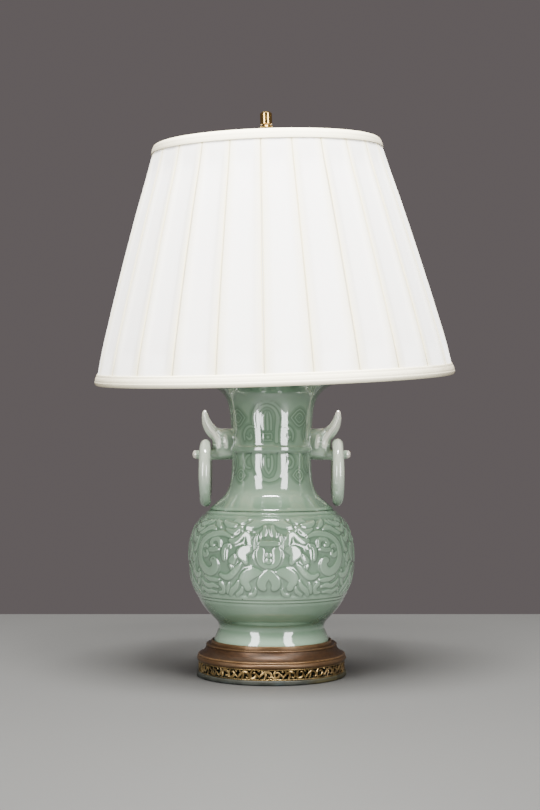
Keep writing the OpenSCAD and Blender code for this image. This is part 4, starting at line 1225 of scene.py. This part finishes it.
def makeSocket():
    x, z, wall = socket["x"], socket["domeZ"], socket["wall"]
    lower = [(5.6, 5.6, 0), (8, 5.6, 0.4), (8.05, 8.6, 0.2), (8.6, 9.9, 0)]
    lower += worn(arc(10, z, 7, -78, 0, 10), 0)
    lower += [(17, 19.4, 0), (17.4, 20.1, 0.7), (17.4, 21.3, 0.7), (17, 22, 0), (17, 24.6, 0.3)]
    lower += [(16.9, 25, 0.6), (16.44, 25, 0), (16.44, z, 0)] + worn(arc(10, z, 6.4, 0, -78, 8), 0)
    lower += [(5.6, 11.2, 0)]
    turned("socketLower", lower, "socketBrass", "root", ["socket_cap"], 112, harpPlace)
    upper = [(x, 21, 0), (x, 33, 0)]
    for low in socket["beads"]:
        upper += [(x, low, 0), (x + 0.35, low + 0.7, 0.8), (x, low + 1.4, 0)]
    upper += [(x, 50, 0), (x + 0.5, 52, 0.7), (x, 54, 0), (x, 59.6, 0), (x + 0.4, 60.3, 0.9), (x, 61, 0.7)]
    upper += [(x - wall, 61, 0), (x - wall, 21, 0)]
    turned("socketUpper", upper, "socketBrass", "root", ["socket_shell"], 112, harpPlace)


def makeKnob():
    outline = [(0.0, 0.0), (4.4, 0.0), (5.2, 0.6), (5.4, 1.4), (5.4, 7.4), (5.0, 8.5), (4.2, 9.0),
               (0.0, 9.2)]
    knob = spun(outline, 96)
    for vertex in knob.verts:
        turn = math.atan2(vertex.co.y, vertex.co.x)
        if vertex.co.xy.length / mm > 4 and 0.5 < vertex.co.z / mm < 8.6:
            cut = 1 - 0.07 * max(0, math.cos(socket["flutes"] * turn)) ** 3
            vertex.co.x *= cut
            vertex.co.y *= cut
    middle = at(0, -socket["knobReach"], socket["knobHeight"])
    place = harpPlace @ middle @ Matrix.Rotation(math.pi / 2, 4, "X")
    piece(placed(knob, place), "fluted", plastic["phenolic"], "switch", ["switch_knob"])


bulb = {"cap": 12.9, "capTop": 62, "radius": 30, "middle": 114, "glass": 0.8, "pitch": 3.6, "thread": 0.45}


def makeBulb():
    top, middle, radius, thick = bulb["capTop"], bulb["middle"], bulb["radius"], bulb["glass"]
    flank = [(13.6, top), (14.4, 70), (18.5, 81), (24.5, 93), (28.6, 103), (radius, middle)]
    outside = [tuple(p) for p in smoothCurve(flank, 5)] + arc(0, middle, radius, 6, 90, 18)
    inside = [(max(x - thick, 0), z - thick * max(0, (z - middle) / radius)) for x, z in outside]
    outside[-1] = (0.0, middle + radius)
    inside[-1] = (0.0, middle + radius - thick)
    shell = spun(inside[::-1] + outside, 96, harpPlace)
    piece(shell, "bulb", glass, "bulb", ["bulb_glass"], crease=60)
    crest = bulb["cap"]
    root = crest - bulb["thread"]
    cap = [(0.0, 38.4), (3.4, 38.4), (4.5, 39.2), (4.6, 40.4), (7, 40.6), (12.2, 44.2)]
    for low in 45 + bulb["pitch"] * np.arange(4):
        cap += [(root, low), (crest, low + 0.9), (crest, low + 1.7), (root, low + 2.7)]
    cap += [(12.6, 60.2), (crest, 60.8), (crest, top - 0.2), (12.5, top), (0.0, top)]
    turned("bulbScrew", cap, "aluminium", "bulb", ["bulb_cap"], 96, harpPlace)


def makeHarp():
    footX, kink, bow = harpArc["footX"], harpArc["kink"], harpArc["bow"]
    half = [(footX, harpArc["footTop"] - 4)]
    half += arc(footX + kink, harpArc["footTop"], kink, 180, 180 - kinkTurn, 8)
    half += arc(harpArc["bowX"] - bow, bowZ, bow, 2 - kinkTurn, harpArc["crownStart"] - 1.5, 26)
    half += arc(0, crownZ - crownR, crownR, harpArc["crownStart"], 90, 20)
    loop = half + [(-x, z) for x, z in half[::-1] if x > 0.1]
    parts = [rod([(x, 0, z) for x, z in loop], harpArc["wire"], 20)]
    post, low = harpArc["post"], harpArc["footLow"]
    foot = [(0.0, 34.4), (1.5, 34.4), (2.1, 33.9), (post, 33), (post, 29), (2.3, 28.6), (2.3, 27.8),
            (post, 27.4), (post, 17), (2.1, low), (0.0, low)]
    for side in (-1, 1):
        parts.append(spun(worn(foot, 0.4), 40, at(side * footX, 0, 0)))
    hole, edge = harpArc["bossHole"], harpArc["boss"]
    low, high = crownZ - harpArc["bossThick"] / 2, crownZ + harpArc["bossThick"] / 2
    boss = rounded([(hole, low), (edge, low), (edge, high), (hole, high)], 0.6)
    harp = placed(joined(parts + [spun(worn(boss, 0.6), 56)]), harpPlace)
    piece(harp, "harpWire", metal["harpBrass"], "harp", ["harp"], crease=40)


def makeSleeve(name, node, side):
    sleeve = worn(arc(3.4, 8.6, 0.9, -60, 90, 6), 0.8) + [(3.35, 10, 0.1), (3.2, 16, 0), (3.3, 21.6, 0.1)]
    sleeve += worn(arc(3.1, 22.4, 0.6, 0, 90, 4), 0.8) + [(2.5, 23, 0), (2.5, 7.8, 0)]
    place = harpPlace @ at(side * harpArc["footX"], 0, 0)
    turned(name, sleeve, "harpBrass", node, [node], 48, place)


makeCap()
makeSpacer()
makeSaddle()
makeSocket()
makeKnob()
makeBulb()
makeHarp()
makeSleeve("sleeveLeft", "ferrule_left", -1)
makeSleeve("sleeveRight", "ferrule_right", 1)
print("fittings")


# Shade: 25 box pleats over a lining, bound top and bottom, on a wire frame with a spider

shade = {
    "pleats": 25, "first": 266.85, "topW": 12, "topR": 123.4, "slope": 0.28687,
    "coverLow": -248.6, "coverTop": 13.6, "rows": 30, "cloth": 0.25,
    "trimTop": 16.2, "trimLow": -251.3,
    "lining": 0.3, "liningInside": 2.1, "ribs": 8,
    "hub": 11, "hubHole": 3.16, "hubLow": 2.9, "hubHigh": 4.5, "arm": 1.4,
    "pressed": 4.1,      # how far out the folds stand where the bindings press them
    # how far the wall bellies out, by height
    "belly": [(-249, 0), (-238, 0.25), (-226, 1.2), (-205, 2.0), (-160, 2.4), (-110, 2.2), (-60, 1.5),
              (-20, 0.1), (14, 0)],
    # share of the pleat, offset from the frame line, how warm the doubled cloth looks; half of each layer
    "outerFold": [(0.010, 3.7, 1), (0.020, 4.3, 0.8), (0.05, 4.5, 0.5), (0.09, 4.45, 0.4),
                  (0.13, 4.25, 0.3), (0.165, 3.9, 0.22), (0.195, 3.4, 0.15), (0.23, 2.8, 0.06),
                  (0.28, 2.35, 0.02), (0.38, 2.1, 0), (0.5, 2.0, 0)],
    "innerFold": [(0.98, 3.5, 1), (0.90, 3.4, 0), (0.86, 3.1, 0), (0.85, 2.8, 0), (0.86, 2.5, 0),
                  (0.92, 2.35, 0), (1.0, 2.3, 0)],
}


def ribRadius(w):
    return shade["topR"] + (shade["topW"] - w) * shade["slope"]


def clothPiece(name, spots, flatSpots, foldsAndShade, material, stands, thick):
    rows, columns = len(spots), len(spots[0])
    bm = bmesh.new()
    uv = bm.loops.layers.uv.new("cloth")
    fold = bm.verts.layers.float.new("fold")
    bmesh.ops.create_grid(bm, x_segments=columns - 1, y_segments=rows - 1, size=1)
    corners = sorted(bm.verts, key=lambda v: (round(v.co.y * 1e5), v.co.x))
    index = {}
    for k, vertex in enumerate(corners):
        row, column = divmod(k, columns)
        index[vertex] = (row, column)
        # the fold value marks doubled cloth on the cover and painted shade at the bindings' sides
        vertex[fold] = foldsAndShade[row][column]
        vertex.co = Vector(spots[row][column]) * mm
    for face in bm.faces:
        for loop in face.loops:
            row, column = index[loop.vert]
            loop[uv].uv = (flatSpots[row][column][0] * mm, flatSpots[row][column][1] * mm)
    bmesh.ops.remove_doubles(bm, verts=bm.verts, dist=1e-6)
    bmesh.ops.recalc_face_normals(bm, faces=bm.faces)
    made = piece(placed(bm, shadePlace), name, cloth[material], "shade", stands, crease=50)
    layer = made.modifiers.new("thickness", "SOLIDIFY")
    layer.thickness = thick * mm
    layer.offset = 0
    return made


def onShade(turn, w, offset):
    radius = ribRadius(w) + offset
    return (radius * math.cos(turn), radius * math.sin(turn), w)


def pathLength(points):
    return [0.0] + list(np.cumsum([math.dist(a, b) for a, b in zip(points, points[1:])]))


def mirrored(half, middle):
    return half + [(2 * middle - share, offset, doubledAndSideShade) for share, offset, doubledAndSideShade in half[-2::-1]]


def coverColumns():
    outer = mirrored(shade["outerFold"], 0.5)
    section = outer + mirrored(shade["innerFold"], 1)
    columns = []
    for pleat in range(shade["pleats"]):
        shift = chance.normal(0, 0.006)
        puff = chance.normal(0, 0.10)
        sway = chance.uniform(0, 6.28)
        columns += [(pleat + share, shift, offset, puff, doubledAndSideShade, sway, k < len(outer))
                    for k, (share, offset, doubledAndSideShade) in enumerate(section)]
    columns.append((shade["pleats"] + columns[0][0], *columns[0][1:]))
    return columns


def makeCover():
    columns = coverColumns()
    levels = np.linspace(shade["coverLow"], shade["coverTop"], shade["rows"])
    tall = levels[-1] - levels[0]
    middle = ribRadius((levels[0] + levels[-1]) / 2)
    pitch = 2 * math.pi / shade["pleats"]
    across = pathLength([(column[0] * pitch * middle, column[2]) for column in columns])
    spots, flat = [], []
    for w in levels:
        height = (w - levels[0]) / tall
        free = math.sin(math.pi * height)
        belly = np.interp(w, *zip(*shade["belly"]))
        pressed = 0.9 * (ease(-20, 2, w) + ease(-218, -237, w))
        row = []
        for share, shift, offset, puff, _, sway, outer in columns:
            if outer:
                offset += (shade["pressed"] - offset) * pressed
            wander = (shift + 0.003 * math.sin(5 * height + sway)) * free
            turn = math.radians(shade["first"]) + pitch * (share + wander)
            swell = (puff + 0.08 * math.sin(4 * height + 2 * sway)) * free * (1 if offset > 2.9 else 0.5)
            row.append(onShade(turn, w, offset + swell + belly))
        spots.append(row)
        slant = height * tall * math.hypot(1, shade["slope"])
        flat.append([(u, slant) for u in across])
    foldsAndShade = [[column[4] for column in columns]] * len(levels)
    made = clothPiece("pleatedCover", spots, flat, foldsAndShade, "pleatedSilk", ["shade_cover"],
                      shade["cloth"])


# Sections are (offset, rise) from the frame line at the edge, and the cloth is darkened to a brown beige
# at the lamp's left and right sides as painted shade
bands = {
    "steps": 288, "thick": 0.6,
    "top": {
        "edge": shade["trimTop"], "sideShade": 0.9, "sideShadePower": 4,
        "section": [(-3.1, -11), (-3.1, -8), (-3.1, -4.4), (-2.6, -2.3), (-1.3, -0.9), (0.2, -0.45),
                    (1.7, -0.45), (3.2, -1.0), (4.5, -2.3), (5.05, -4.2), (5.15, -5.4), (5.05, -6.0),
                    (5.2, -6.8), (5.2, -8.6), (4.95, -10.2), (4.8, -10.9)]},
    "low": {
        "edge": shade["trimLow"], "sideShade": 0.95, "sideShadePower": 3,
        "section": [(-3.2, 13), (-3.2, 9), (-3.2, 4.8), (-2.6, 2.4), (-1.1, 1.0), (0.6, 0.5), (2.2, 0.65),
                    (3.8, 1.4), (4.9, 2.7), (5.5, 4.2), (5.6, 4.9), (5.4, 5.4), (5.65, 6.0), (5.7, 7.6),
                    (5.6, 9.3), (5.4, 10.0), (5.2, 10.4), (5.35, 11.0), (5.1, 12.4), (4.9, 13.1)]},
}


def makeBand(name, node, band):
    edge, section = band["edge"], band["section"]
    turns = np.linspace(0, 2 * math.pi, bands["steps"] + 1)
    along = pathLength(section)
    radius = ribRadius(edge + section[len(section) // 2][1]) + 2
    waves = [(n, chance.uniform(0, 6.28)) for n in (3, 5, 8, 13, 24)]
    swells = [0.05 * sum(math.sin(n * turn + shift) for n, shift in waves) for turn in turns]
    spots = [[onShade(turn, edge + rise, offset + (swell if offset > 3 else 0))
              for turn, swell in zip(turns, swells)] for offset, rise in section]
    flat = [[(turn * radius, length) for turn in turns] for length in along]
    # painted shade: darker and browner towards the lamp's left and right sides
    foldsAndShade = [[band["sideShade"] * abs(math.cos(turn)) ** band["sideShadePower"] for turn in turns]] * len(section)
    made = clothPiece(name, spots, flat, foldsAndShade, "trimSilk", [node], bands["thick"])


def makeLining():
    inside, ribs = shade["liningInside"], shade["ribs"]
    turns = np.linspace(0, 2 * math.pi, 145)
    levels = np.linspace(shade["coverLow"] + 0.8, 10.5, 14)
    slant = math.hypot(1, shade["slope"])
    radius = ribRadius(levels.mean()) - inside
    sags = [0.25 * (1 - abs(math.cos(turn * ribs / 2))) for turn in turns]    # slack between the ribs
    spots = [[onShade(turn, w, -inside - sag) for turn, sag in zip(turns, sags)] for w in levels]
    flat = [[(turn * radius, (w - levels[0]) * slant) for turn in turns] for w in levels]
    foldsAndShade = [[0.0] * len(turns)] * len(levels)
    made = clothPiece("innerLining", spots, flat, foldsAndShade, "liningCloth", ["shade_lining"],
                      shade["lining"])


def makeSpider():
    low, high, hole, edge = shade["hubLow"], shade["hubHigh"], shade["hubHole"], shade["hub"]
    hub = rounded([(hole, low), (edge, low), (edge, high), (hole, high)], 0.35)
    turned("hubWasher", worn(hub, 0.5), "harpBrass", "shade", ["spider_hub"], 72,
           shadePlace)
    middle = (low + high) / 2
    end, arm = shade["topR"] - 1.5, shade["arm"]
    climb = (shade["topW"] - middle) / (end - 11.1)
    stations = [(9.8, middle + 0.2, 0.9), (11.4, middle + 0.15, arm), (14, middle + 0.2, arm)]
    stations += [(r, middle + climb * (r - 11.1), arm) for r in np.linspace(20, end, 8)]
    parts = []
    for turn in np.radians((90, 210, 330)):
        spots = [(r * math.cos(turn), r * math.sin(turn), w) for r, w, _ in stations]
        parts.append(rod(spots, [s[2] for s in stations], 16))
    arms = placed(joined(parts), shadePlace)
    piece(arms, "wireArms", metal["harpBrass"], "shade", ["spider_arms"], crease=50)


finial = {"tip": 633, "low": 4.8, "stem": 15.2}


def makeFinial():
    low, stem = finial["low"], finial["stem"]
    tilt = math.cos(math.radians(lean["shadeFront"])) * math.cos(math.radians(lean["shadeLeft"]))
    top = (finial["tip"] - shadePivot.z / mm) / tilt
    outline = [(0.0, stem), (3.16, stem), (3.16, low), (6.2, low)]
    outline += worn(arc(5.6, low + 1.4, 1.4, -50, 80, 8), 0.6)
    outline += [(5.2, low + 3.2), (4.9, low + 6), (4.6, low + 10), (4.5, top - 23), (5, top - 21.4)]
    outline += [(6.9, top - 17.5), (7.5, top - 17, 0.6), (7.6, top - 16.6, 0.8), (7.45, top - 16.25, 0.4)]
    outline += [(6.6, top - 16.1), (4.2, top - 15.9), (4.0, top - 15.2), (4.2, top - 14.5)]
    outline += [(6.2, top - 14.25), (6.65, top - 13.9, 0.7), (6.8, top - 13.2, 0.3), (6.8, top - 8)]
    outline += [(6.8, top - 2.4)]
    outline += [(6.7, top - 2.0, 0.3), (5.0, top - 0.45, 0.2), (4.7, top - 0.2), (0.0, top)]
    turned("brassFinial", outline, "finialBrass", "finial", ["finial"], 96, shadePlace)


makeCover()
makeBand("topBinding", "shade_top_trim", bands["top"])
makeBand("lowBinding", "shade_bottom_trim", bands["low"])
makeLining()
makeSpider()
makeFinial()
print("shade")


# Finishes of the nodes that keep their CAD shape

dressed = {
    "base_weight": metal["castIron"], "base_washer": metal["zincSteel"], "lock_washer": metal["zincSteel"],
    "base_nut": metal["zincSteel"], "saddle_nut": metal["zincSteel"], "lamp_pipe": metal["pipeBrass"],
    "socket_body": plastic["phenolic"], "screw_shell": metal["aluminium"],
    "socket_liner": plastic["insulatingCard"], "switch_stem": metal["socketBrass"],
    "shade_top_ring": metal["frameWire"], "shade_bottom_ring": metal["frameWire"],
    "shade_ribs": metal["frameWire"], "harp_stud": metal["harpBrass"],
}
for name, finish in dressed.items():
    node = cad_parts[name]
    node.data.materials.clear()
    node.data.materials.append(finish)


def makeFloor():
    bm = bmesh.new()
    half = studio["floorSize"] / 2
    place = Matrix.Translation((0, studio["floorBack"] - half, 0))
    bmesh.ops.create_grid(bm, x_segments=1, y_segments=1, size=half, matrix=place)
    mesh = bpy.data.meshes.new("floor")
    bm.to_mesh(mesh)
    bm.free()
    floor = bpy.data.objects.new("floor", mesh)
    scene.collection.objects.link(floor)
    pale = {"Base Color": studio["floorColour"], "Roughness": 0.55}
    mesh.materials.append(startMaterial("floor", pale)[0])


makeFloor()

print("finishes and floor")
